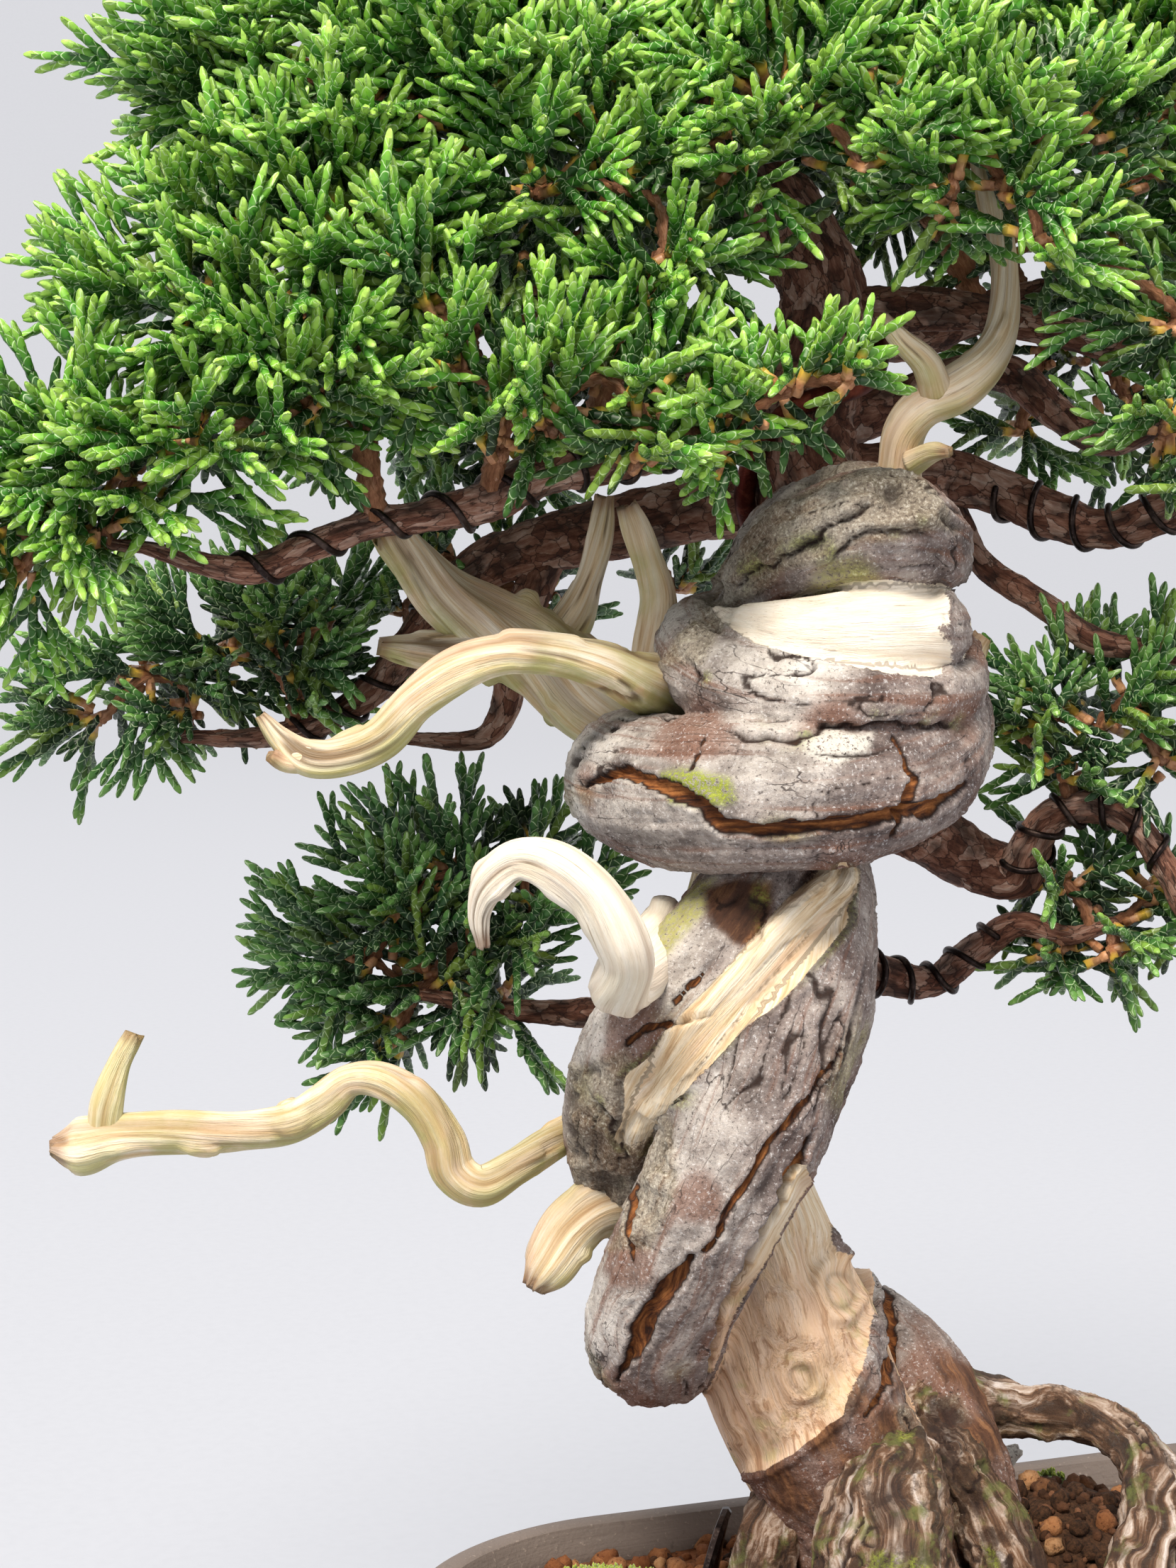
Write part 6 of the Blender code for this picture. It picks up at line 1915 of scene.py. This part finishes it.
    def shape(self, cords: list[Cord], age: float, draft: Draft) -> None:
        """Turn cords into scaly tubes.

        Args:
            cords: the cords.
            age: how dark the pad's green is.
            draft: what they are added to.
        """
        start, heading, bend, facing, numbers = map(np.array, zip(*cords))
        rows = np.maximum(5, np.round(numbers[:, 0] / self.ring).astype(int) + 1)
        chance = np.random.default_rng(len(start)).uniform(0, 1, len(start))
        cells = int(math.ceil(math.sqrt(len(start))))
        theta = 2 * math.pi * (np.arange(self.sides) + 0.5) / self.sides
        for count in np.unique(rows):
            pick = np.flatnonzero(rows == count)
            length, radius, woody, deep, shallow = numbers[pick].T
            t = np.linspace(0, 1, count)
            shift = np.zeros(count + 2)
            shrink = np.ones(count + 2)
            t = np.concatenate([t, [1.0, 1.0]])
            shift[-2:], shrink[-2:], shrink[-3] = (0.75, 1.35), (0.74, 0.3), 0.96
            run = t * length[:, None]
            way = unit(heading[pick][:, None] + bend[pick][:, None] * t[None, :, None])
            centre = start[pick][:, None] + heading[pick][:, None] * run[..., None] \
                + bend[pick][:, None] * (0.5 * t * run)[..., None]
            centre = centre + way * (shift * radius[:, None])[..., None]
            side = unit(np.cross(way, facing[pick][:, None] + 0 * way))
            up = np.cross(side, way)
            k = np.arange(count + 2)
            pair = np.where((k // 2) % 2, 1.0, -1.0)
            swell = 1 + 0.10 * pair[:, None] * np.cos(2 * theta) + np.where(k % 2, 0.07, -0.05)[:, None]
            swell[-2:] = 1.0
            reach = radius[:, None, None] * (swell * shrink[:, None])[None] * (1 - 0.24 * t**2)[None, :, None]
            ring = np.cos(theta)[:, None, None] * side[:, None] + np.sin(theta)[:, None, None] * up[:, None]
            ring = ring.transpose(0, 2, 1, 3)
            points = centre[:, :, None] + ring * reach[..., None]
            rings = count + 2
            quads = ring_quads(rings, self.sides)
            offset = (np.arange(len(pick)) * rings * self.sides)[:, None, None]
            flat_quads = (quads[None] + offset).reshape(-1, 4)
            end = np.maximum(length[:, None] - run, 0.0)
            # Painted shade: tips deep in the pad stay dull, and cords darken by how deep in the pad they lie.
            tip = (np.clip(1.0 - end / 6.0, 0, 1) ** 1.3 * 0.6 + 0.3 * t) * (1 - 0.8 * shallow[:, None])
            depth = deep[:, None] * (1 - t) + shallow[:, None] * t
            wood = ease(1.0, 0.0, run / np.maximum(woody, 1e-6)[:, None]) * (woody > 0)[:, None]
            spread = np.ones(self.sides)
            paint = {key: (value[..., None] * spread).ravel() for key, value in
                     (("tip", tip), ("depth", depth), ("woody", wood))}
            # The pad's darker green, as older foliage and as painted shade on the rear and lower pads.
            paint["age"] = np.full(points[..., 0].size, age)
            column, line = quads % self.sides, quads // self.sides
            wrapped = (column == 0) & (column.max(1) == self.sides - 1)[:, None]
            wrapped &= (np.arange(len(quads)) < (rings - 1) * self.sides)[:, None]
            around = (column + np.where(wrapped, self.sides, 0)) / self.sides
            along = run[:, line]
            leaf = np.stack(np.broadcast_arrays(around[None], along, chance[pick][:, None, None]), axis=3)
            cell_x, cell_y = (pick % cells)[:, None, None], (pick // cells)[:, None, None]
            chart = np.stack([(cell_x + 0.06 + 0.88 * around[None]) / cells,
                              (cell_y + 0.06 + 0.88 * (line / (rings - 1))[None]) / cells], axis=3)
            draft.add(points.reshape(-1, 3), flat_quads, paint,
                      {"leaf": leaf.reshape(-1, 3), "OFBake": chart.reshape(-1, 2)})

    def build(self, bark: Material) -> list[Object]:
        """Make the twigs and every pad.

        Args:
            bark: the finish of the twigs.

        Returns:
            The pieces.
        """
        material = self.finish.make()
        self.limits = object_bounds()
        pieces, twigs = [], Draft()
        for name in PADS:
            grown = self.sprays(name, self.twigs(name, twigs))
            age = self.habits.get(name, Habit()).age
            parts = 1 + int(sum(cord.numbers[0] for cord in grown) / self.ring * self.sides / PIECE_QUADS)
            for part in range(parts):
                share = grown[len(grown) * part // parts:len(grown) * (part + 1) // parts]
                draft = Draft()
                self.shape(share, age, draft)
                title = f"{name}_sprays" + ("", "_b", "_c", "_d")[part]
                stands_for = [f"foliage_{name}"] if part == 0 else []
                pieces.append(draft.piece(title, material, "juniper_foliage", stands_for))
        pieces.append(twigs.piece("twigs", bark, "branch_bark"))
        return pieces


def rounded_loop(half: Rows | Pair, radius: float, steps: int, height: float, x: float = 0.0) -> Rows:
    """A level rounded rectangle.

    Args:
        half: its half sizes.
        radius: of its corners.
        steps: points in each corner.
        height: where it lies.
        x: its middle, to the right of the origin.

    Returns:
        Its points, counter-clockwise.
    """
    out = []
    for quarter, signs in enumerate(((1, 1), (-1, 1), (-1, -1), (1, -1))):
        angle = math.pi / 2 * (quarter + np.linspace(0, 1, steps))
        across, back = (np.array(half) - radius) * signs + (x, 0)
        out.append(np.column_stack([across + radius * np.cos(angle), back + radius * np.sin(angle),
                                    np.full(steps, height)]))
    return np.concatenate(out)


@dataclass
class Pot:
    """A shallow rounded stoneware pot on three feet, with two drain holes."""

    length: float = 180.0
    width: float = 120.0
    corner: float = 40.0
    taper: float = 8.0
    corner_steps: int = 28
    hole_radius: float = 7.5
    hole_at: float = 31.0
    foot: Triple = (9.0, 64.0, 4.0)
    feet_at: tuple[float, ...] = (-62.0, 0.0, 62.0)
    outside: tuple[Pair, ...] = (
        (8, 4), (6.6, 4.5), (5.76, 6.5), (5.2, 11), (4.3, 19), (3.36, 27.5), (2.7, 38), (2.2, 49),
        (2, 50.1), (1.4, 50.6), (0.4, 51), (0.1, 51.6), (0, 52.6), (0, 53.9), (0.35, 54.7), (1, 55))
    inside: tuple[Pair, ...] = (
        (3.3, 55), (3.9, 54.7), (4.2, 54), (5.2, 52), (6.4, 45), (8.6, 27.5), (10.6, 14), (11.6, 11.4),
        (14.2, 10.2), (18, 10))
    finish: Stoneware = field(default_factory=Stoneware)

    def loop(self, inset: float, height: float) -> Rows:
        """One rounded-rectangle loop.

        Args:
            inset: distance in from the widest outline.
            height: its height.

        Returns:
            Points in the row's frame, counter-clockwise.
        """
        half = np.array((self.length, self.width)) / 2 - inset
        return rounded_loop(half, max(self.corner - inset, 6.0), self.corner_steps, height)

    def solid(self, loops: Sequence[Rows], name: str) -> Object:
        """A closed solid through a stack of loops.

        Args:
            loops: loops with the same number of points, from the bottom up.
            name: the object's name.

        Returns:
            The object.
        """
        sides = len(loops[0])
        faces = ring_quads(len(loops), sides, closed_ends=False).tolist()
        faces.append(tuple(range(sides - 1, -1, -1)))
        faces.append(tuple((len(loops) - 1) * sides + j for j in range(sides)))
        mesh = bpy.data.meshes.new(name)
        mesh.from_pydata((np.concatenate(loops) * MM).tolist(), [], faces)
        return stand(name, mesh)

    def bar(self, x: float) -> list[Rows]:
        """Draw one foot, a bar with softened edges that tapers to the table.

        Args:
            x: its middle.

        Returns:
            Its loops.
        """
        wide, long, tall = self.foot
        return [rounded_loop((wide / 2 - inset, long / 2 - inset), 2.2, 7, height, x)
                for inset, height in ((1.3, 0), (0.5, 0.3), (0.15, 0.9), (0, tall), (0, tall + 1.2))]

    def drum(self, x: float) -> list[Rows]:
        """Draw a drain hole's cutter, flared where it leaves the clay.

        Args:
            x: its middle.

        Returns:
            Its loops.
        """
        angle = 2 * math.pi * np.arange(64) / 64
        loops = []
        for flare, height in ((0.9, 3), (0.9, 4), (0.25, 4.5), (0, 5.4), (0, 9.2), (0.5, 9.9), (0.9, 10.1),
                              (0.9, 12)):
            r = self.hole_radius + flare
            loops.append(np.column_stack([x + r * np.cos(angle), r * np.sin(angle), np.full(64, height)]))
        return loops

    def build(self) -> list[Object]:
        """Make the pot.

        Returns:
            The piece.
        """
        pot = self.solid([self.loop(*place) for place in self.outside + self.inside], "stoneware_pot")
        cuts = [self.solid(self.drum(x), "hole") for x in (-self.hole_at, self.hole_at)]
        bars = [self.solid(self.bar(x), "foot") for x in self.feet_at]
        for other, way in [(b, "UNION") for b in bars] + [(c, "DIFFERENCE") for c in cuts]:
            cut = pot.modifiers.new(way.lower(), "BOOLEAN")
            cut.object, cut.operation, cut.solver = other, way, "EXACT"
        graph = bpy.context.evaluated_depsgraph_get()
        made = bpy.data.meshes.new_from_object(pot.evaluated_get(graph))
        pot.modifiers.clear()
        pot.data = made
        for other in bars + cuts:
            bpy.data.objects.remove(other)
        made.materials.clear()
        made.materials.append(self.finish.make())
        made.shade_smooth()
        made.set_sharp_from_angle(angle=math.radians(38))
        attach(pot, "root")
        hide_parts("pot")
        log.info("stoneware_pot: %d points, %d faces", len(made.vertices), len(made.polygons))
        return [pot]


def cube_ball(parts: int) -> tuple[Rows, Rows, Rows]:
    """A ball of quads.

    Args:
        parts: squares along each edge of the cube it is blown up from.

    Returns:
        Points, quads and a chart place for each quad's corners.
    """
    places: dict[tuple[int, int, int], int] = {}
    points, quads, chart = [], [], []
    for side in range(6):
        axis, sign = side // 2, 1 if side % 2 else -1
        for i in range(parts):
            for j in range(parts):
                quad, spots = [], []
                for a, b in ((i, j), (i + 1, j), (i + 1, j + 1), (i, j + 1)):
                    key = [0, 0, 0]
                    key[axis] = sign * parts
                    key[(axis + 1) % 3] = 2 * a - parts
                    key[(axis + 2) % 3] = (2 * b - parts) * sign
                    if tuple(key) not in places:
                        places[tuple(key)] = len(points)
                        spot = np.tan(np.array(key) / parts * math.pi / 4)
                        points.append(spot / norm(spot))
                    quad.append(places[tuple(key)])
                    spots.append(((side % 3 + 0.08 + 0.84 * a / parts) / 3,
                                  (side // 3 + 0.08 + 0.84 * b / parts) / 2))
                quads.append(quad)
                chart.append(spots)
    return np.array(points), np.array(quads), np.array(chart)


@dataclass
class Ground:
    """Fired-clay grit over a mounded bed, with dark humus and moss."""

    pot: Pot
    level: float = 50.0
    crown: float = 1.5
    mound: float = 13.0
    mound_at: Pair = (2.0, 26.0)
    mound_spread: float = 13.0
    grit: int = 2600
    crumbs: int = 2300
    cushions: dict[str, tuple[float, float, float, float, float]] = field(default_factory=lambda: {
        "moss_left": (-66, 18, 11, 8, 3), "moss_front": (-2, -44, 15, 8, 3.2),
        "moss_right": (52, 8, 13, 10, 3)})
    bed_inset: float = 5.75
    wall_inset: float = 5.4
    finish: FiredClayGrit = field(default_factory=FiredClayGrit)
    moss: CushionMoss = field(default_factory=CushionMoss)

    def to_tree(self, flat: Rows) -> Rows:
        """Row-frame (x, y) in the tree's frame."""
        c, s = math.cos(TREE_TURN), math.sin(TREE_TURN)
        return np.column_stack([flat[:, 0] * c + flat[:, 1] * s, -flat[:, 0] * s + flat[:, 1] * c])

    def share(self, flat: Rows) -> Rows:
        """How far out on the bed places are.

        Args:
            flat: row-frame (x, y).

        Returns:
            From 0 in the middle to 1 at the pot's wall.
        """
        half = np.array((self.pot.length, self.pot.width)) / 2 - self.wall_inset
        r = self.pot.corner - self.wall_inset
        over = np.maximum(np.abs(flat) - (half - r), 0.0)
        inner = half - r
        depth = np.minimum(r - np.hypot(over[:, 0], over[:, 1]), np.minimum(*(half - np.abs(flat)).T))
        return np.clip(1.0 - depth / (inner.min() + r), 0.0, 1.2)

    def height(self, flat: Rows) -> Rows:
        """Height of the bed.

        Args:
            flat: row-frame (x, y).

        Returns:
            The height at each place.
        """
        share = self.share(flat)
        tree = self.to_tree(flat)
        gap = ((tree - self.mound_at) ** 2).sum(1)
        inner = np.minimum(1.0, 6 * np.maximum(1 - share, 0))
        heap = self.mound * np.exp(-gap / (2 * self.mound_spread**2)) * inner
        bumps = 0.5 * fractal(np.column_stack([flat / 6.0, 0 * flat[:, 0]]), 3, 5)
        return self.level + self.crown * (1 - np.minimum(share, 1) ** 2) + heap + bumps - 0.5

    def bed(self, material: Material) -> Object:
        """The closed body of ground that the grit lies on.

        Args:
            material: its finish.

        Returns:
            The piece.
        """
        rim = self.pot.loop(self.bed_inset, 0.0)[:, :2]
        rim = rim[norm(rim - np.roll(rim, 1, axis=0), axis=1) > 1e-6]
        long = []
        for a, b in zip(rim, np.roll(rim, -1, axis=0)):
            cuts = max(1, int(norm(b - a) / 2.0))
            long.extend(a + (b - a) * t / cuts for t in range(cuts))
        rim = np.array(long)
        rim = rim[: len(rim) // 2 * 2]
        sides, rings = len(rim), 64
        out = np.linspace(1.0, 0.006, rings)
        top = (rim[None] * out[:, None, None]).reshape(-1, 2)
        upper = np.column_stack([top, self.height(top)])
        low = []
        half = np.array((self.pot.length, self.pot.width)) / 2
        for inset, z in ((18.6, 10.4), (14.8, 10.7), (12.2, 12), (10.8, 16), (8.9, 28), (6.8, 44),
                         (5.95, 48.6)):
            low.append(np.column_stack([rim * ((half - inset) / (half - self.bed_inset)), np.full(sides, z)]))
        points = np.concatenate([*low, upper])
        quads = ring_quads(len(low) + rings, sides)
        tree = self.to_tree(points[:, :2])
        near = np.exp(-((tree - (6.0, 30.0)) ** 2).sum(1) / (2 * 34.0**2))
        draft = Draft()
        draft.add(points, quads, {"chance": np.full(len(points), 0.15), "humus": near * 1.5})
        return draft.piece("ground_bed", material, "akadama_soil", ["soil"], in_tree=False)

    def grains(self, name: str, count: int, size: Pair, dark: bool,
               material: Material) -> Object:
        """Scatter crumbs over the bed.

        Args:
            name: the piece's name.
            count: how many crumbs are thrown.
            size: least and greatest half width.
            dark: whether they are humus crumbs that gather by the roots.
            material: their finish.

        Returns:
            The piece.
        """
        rng = np.random.default_rng(count)
        half = np.array((self.pot.length, self.pot.width)) / 2 - 6.5
        flat = rng.uniform(-1, 1, (count * 3, 2)) * half
        flat = flat[self.share(flat) < 0.985]
        tree = self.to_tree(flat)
        near = np.exp(-((tree - (4.0, 26.0)) ** 2).sum(1) / (2 * 24.0**2))
        keep = rng.uniform(0, 1, len(flat)) < ((0.25 + near) if dark else (1.1 - 0.75 * near))
        flat = flat[keep][:count]
        near = near[keep][:count]
        if not dark:
            cell = 2.8
            _, first = np.unique(np.floor(flat / cell).astype(int) @ (1, 1000), return_index=True)
            flat, near = flat[np.sort(first)], near[np.sort(first)]
        ball, quads, chart = cube_ball(3 if not dark else 2)
        number = len(flat)
        radius = rng.uniform(*size, number)
        axes = radius[:, None] * rng.uniform(0.72, 1.2, (number, 3))
        turn = np.linalg.qr(rng.normal(size=(number, 3, 3)))[0]
        shaped = ball[None] * axes[:, None]
        knobs = noise((ball[None] * 1.7 + rng.uniform(0, 50, (number, 1, 3))).reshape(-1, 3), 6)
        shaped = shaped * (1 + 0.34 * knobs.reshape(number, -1, 1))
        shaped = np.einsum("nij,nkj->nki", turn, shaped)
        z = self.height(flat) + radius * rng.uniform(-0.15, 0.55, number)
        z = np.minimum(z, np.where(self.share(flat) > 0.9, 53.2 - radius, 99.0))
        points = (shaped + np.column_stack([flat, z])[:, None]).reshape(-1, 3)
        offset = (np.arange(number) * len(ball))[:, None, None]
        cells = int(math.ceil(math.sqrt(number)))
        place = np.stack([np.arange(number) % cells, np.arange(number) // cells], axis=1)[:, None, None]
        chart = ((chart[None] * 0.94 + 0.03) + place) / cells
        draft = Draft()
        each = np.ones(len(ball))
        humus = rng.uniform(0.5, 1.0, number) if dark else 1.3 * near * rng.uniform(0.2, 1.0, number)
        draft.add(points, (quads[None] + offset).reshape(-1, 4), {
            "chance": np.outer(rng.uniform(0, 1, number), each).ravel(),
            "humus": np.outer(humus, each).ravel(),
        }, {"OFBake": chart.reshape(-1, 2)})
        return draft.piece(name, material, "akadama_soil", in_tree=False)

    def cushion(self, name: str, centre: Pair, half: Pair, tall: float,
                replaces: Sequence[str], material: Material) -> Object:
        """A moss cushion: a bumpy dome set with short leafy stems.

        Args:
            name: the piece's name.
            centre: its place in the tree's frame.
            half: its half widths.
            tall: its height.
            replaces: solids of the row that it stands for.
            material: its finish.

        Returns:
            The piece.
        """
        rng = np.random.default_rng(seed_of(name))
        sides, rings = 48, 16
        angle = 2 * math.pi * np.arange(sides) / sides
        edge = 1 + 0.10 * np.sin(3 * angle + 1) + 0.06 * np.sin(7 * angle)
        share = np.concatenate([[0.8, 0.97], np.linspace(1.0, 0.02, rings)])
        flat = np.stack([np.cos(angle) * half[0] * edge, np.sin(angle) * half[1] * edge], axis=1)
        spots = (flat[None] * share[:, None, None]).reshape(-1, 2) + centre
        c, s = math.cos(TREE_TURN), math.sin(TREE_TURN)
        row = np.column_stack([spots[:, 0] * c - spots[:, 1] * s, spots[:, 0] * s + spots[:, 1] * c])
        ground = self.height(row)
        dome = np.sqrt(np.clip(1 - np.repeat(share, sides) ** 2, 0, 1)) * tall
        bump = 0.55 * fractal(np.column_stack([spots / 2.2, dome]), 3, 12)
        z = ground + np.where(np.arange(len(spots)) < 2 * sides, -1.2, dome - 0.2 + bump)
        points = np.column_stack([spots, z])
        draft = Draft()
        draft.add(points, ring_quads(len(share), sides), {"tip": np.clip(0.35 + 0.3 * bump, 0, 1)})
        number = int(6.5 * half[0] * half[1])
        pick = rng.integers(2 * sides, len(points), number)
        seat = points[pick] + rng.normal(0, 0.35, (number, 3)) * (1, 1, 0.1)
        lean = rng.normal(0, 0.35, (number, 3)) + (0, 0, 1.0)
        lean = unit(lean)
        across = unit(np.cross(lean, (1.0, 0.0, 0.0)))
        deep = np.cross(lean, across)
        high = rng.uniform(0.7, 1.5, number)
        stems, tips = [], []
        for part, wide in ((-0.3, 0.16), (0.35, 0.34), (0.75, 0.24), (1.0, 0.05)):
            for corner in range(4):
                a = math.pi / 2 * corner + part * 2
                out = across * math.cos(a) + deep * math.sin(a)
                stems.append(seat + lean * (high * part)[:, None] + out * wide)
                tips.append(np.full(number, 0.25 + 0.7 * max(part, 0)))
        spikes = np.stack(stems, axis=1)
        quads = (ring_quads(4, 4)[None] + (np.arange(number) * 16)[:, None, None]).reshape(-1, 4)
        draft.add(spikes.reshape(-1, 3), quads, {"tip": np.stack(tips, axis=1).ravel()})
        return draft.piece(name, material, "moss", replaces)

    def build(self) -> list[Object]:
        """Make the ground and what lies on it.

        Returns:
            The pieces.
        """
        clay = self.finish.make()
        humus = HumusCrumb().make()
        moss = self.moss.make()
        pieces = [self.bed(clay), self.grains("akadama_grit", self.grit, (0.95, 1.8), False, clay),
                  self.grains("humus_crumbs", self.crumbs, (0.5, 1.1), True, humus)]
        for name, (x, y, a, b, tall) in self.cushions.items():
            pieces.append(self.cushion(f"{name}_cushion", (x, y), (a, b), tall, [name], moss))
        pieces.append(self.cushion("moss_in_hollow", (2.0, 38.0), (5.0, 4.0), 2.4, [], moss))
        pieces.append(self.cushion("moss_by_root", (-22.0, -6.0), (5.0, 3.0), 1.8, [], moss))
        return pieces


@dataclass
class ShedBark:
    """A curl of shed bark lying on the ground by the roots."""

    centre: Triple = (-7.0, 33.0, 66.0)
    long: float = 9.0
    wide: float = 5.0
    thick: float = 0.8

    def build(self, material: Material) -> list[Object]:
        """Make the curl.

        Args:
            material: its finish.

        Returns:
            The piece.
        """
        sides, rings = 24, 22
        u = np.linspace(-1, 1, rings)
        angle = 2 * math.pi * np.arange(sides) / sides
        width = self.wide / 2 * (1 - 0.35 * np.abs(u) ** 3 + 0.12 * np.sin(5 * u))
        flat = np.sign(np.cos(angle)) * np.abs(np.cos(angle)) ** 0.7
        x = (u * self.long / 2)[:, None] + 0.3 * np.sin(7 * flat)[None]
        y = width[:, None] * flat[None]
        z = self.thick / 2 * np.sin(angle)[None] * np.ones((rings, 1)) - 0.16 * y**2 + 0.6 * (u**2)[:, None]
        points = np.stack([x, y, z], axis=2).reshape(-1, 3)
        fibre = points.copy()
        points[:, 2] += 0.15 * fractal(points * (0.3, 1.2, 1.2), 3, 3)
        tilt, turn = 0.35, 0.3
        ct, st, cr, sr = math.cos(tilt), math.sin(tilt), math.cos(turn), math.sin(turn)
        points = points @ np.array(((cr, sr, 0), (-sr, cr, 0), (0, 0, 1))) @ np.array(
            ((1, 0, 0), (0, ct, st), (0, -st, ct)))
        draft = Draft()
        zero = np.zeros(len(points))
        draft.add(points + self.centre, ring_quads(rings, sides),
                  {"fibre": fibre, "dead": zero, "lichen": zero + 0.7, "peel": zero, "crack": zero})
        return [draft.piece("shed_bark", material, "trunk_wood")]


@dataclass
class Studio:
    """A pale seamless sweep, soft lights and the camera."""

    target: Triple = (-68.0, 13.0, 170.0)
    distance: float = 400.0
    elevation: float = 5.0
    lens: float = 65.1
    sweep_radius: float = 2.6
    paper: MattPaper = field(default_factory=MattPaper)

    def sweep(self) -> Object:
        """The floor that curves up into a wall all round.

        Returns:
            The floor.
        """
        sides, rise = 96, 14
        rings = [(r, 0.0) for r in np.linspace(0.0, self.sweep_radius, 20)[1:]]
        bend = 1.2
        for t in np.linspace(0, math.pi / 2, rise)[1:]:
            rings.append((self.sweep_radius + bend * math.sin(t), bend * (1 - math.cos(t))))
        rings.append((self.sweep_radius + bend, 3.2))
        angle = 2 * math.pi * np.arange(sides) / sides
        points = [(0.0, 0.0, 0.0)]
        for radius, height in rings:
            points.extend((radius * math.cos(a), radius * math.sin(a), height) for a in angle)
        faces = [(0, 1 + j, 1 + (j + 1) % sides) for j in range(sides)]
        for k in range(len(rings) - 1):
            for j in range(sides):
                a, b = 1 + k * sides + j, 1 + k * sides + (j + 1) % sides
                faces.append((a, a + sides, b + sides, b))
        mesh = bpy.data.meshes.new("studio_floor")
        mesh.from_pydata(points, [], faces)
        mesh.materials.append(self.paper.make())
        mesh.shade_smooth()
        floor = stand("studio_floor", mesh)
        floor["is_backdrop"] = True
        return floor

    def light(self, name: str, place: Triple, size: float, power: float, tint: str) -> None:
        """One soft square lamp that looks at the tree.

        Args:
            name: the lamp's name.
            place: where it stands, in metres.
            size: its edge in metres.
            power: in watts.
            tint: its colour.
        """
        data = bpy.data.lights.new(name, "AREA")
        data.shape, data.size, data.energy = "SQUARE", size, power
        data.color = linear(tint)[:3]
        lamp = stand(name, data)
        lamp.location = place
        aim = np.array((-0.02, 0.0, 0.18)) - place
        tilt = math.atan2(math.hypot(aim[0], aim[1]), -aim[2])
        lamp.rotation_euler = (tilt, 0.0, math.atan2(-aim[0], aim[1]))

    def build(self) -> None:
        """Set up the sweep, the lights, the air and the camera."""
        self.sweep()
        world = bpy.data.worlds.new("soft_daylight")
        world.use_nodes = True
        air = world.node_tree.nodes["Background"]
        air.inputs["Color"].default_value = linear("#F1F2F5")
        air.inputs["Strength"].default_value = 0.55
        scene = bpy.context.scene
        scene.world = world
        scene.view_settings.view_transform = "Standard"
        scene.view_settings.look = "None"
        self.light("key", (-0.9, -1.0, 1.9), 0.8, 86.0, "#FFF5E8")
        self.light("fill", (1.3, -0.9, 0.9), 1.4, 11.0, "#FFFBF6")
        self.light("back", (-0.3, 1.5, 1.5), 1.2, 10.0, "#FFFFFF")
        tilt, turn = math.radians(self.elevation), TREE_TURN
        back = np.array((0.0, -math.cos(tilt), math.sin(tilt))) * self.distance
        eye = np.array(self.target) + back
        c, s = math.cos(turn), math.sin(turn)
        data = bpy.data.cameras.new("view")
        data.lens, data.sensor_width, data.sensor_fit = self.lens, 36.0, "AUTO"
        data.clip_start, data.clip_end = 0.02, 20.0
        camera = stand("view", data)
        camera.location = ((eye[0] * c - eye[1] * s) * MM, (eye[0] * s + eye[1] * c) * MM, eye[2] * MM)
        camera.rotation_euler = (math.pi / 2 - tilt, 0.0, turn)
        scene.camera = camera


def drainage(frame_nodes: Sequence[str]) -> None:
    """Finish the drainage meshes, whose shape stays as it is.

    Args:
        frame_nodes: the meshes' names.
    """
    plastic = MouldedMesh().make()
    for name in frame_nodes:
        dress(name, plastic)


def corners(box: tuple) -> list[list[float]]:
    """A box's two corners as plain numbers."""
    return np.array(box, float).tolist()


def main() -> None:
    """Build every part in order and note the sizes."""
    logging.basicConfig(level=logging.INFO, format="%(name)s: %(message)s")
    before = corners(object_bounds())
    pot, trunk, live = Pot(), Trunk(), LiveBranches()
    pot.build()
    Ground(pot).build()
    trunk.build()
    BareBranches().build()
    ShedBark().build(trunk.material)
    live.build()
    Wires().build()
    drainage(("drainage_mesh_left", "drainage_mesh_right"))
    Foliage().build(live.material)
    Studio().build()
    after = corners(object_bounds())
    log.info("cad box %s", before)
    log.info("visual box %s", after)


if __name__ == "__main__":
    main()
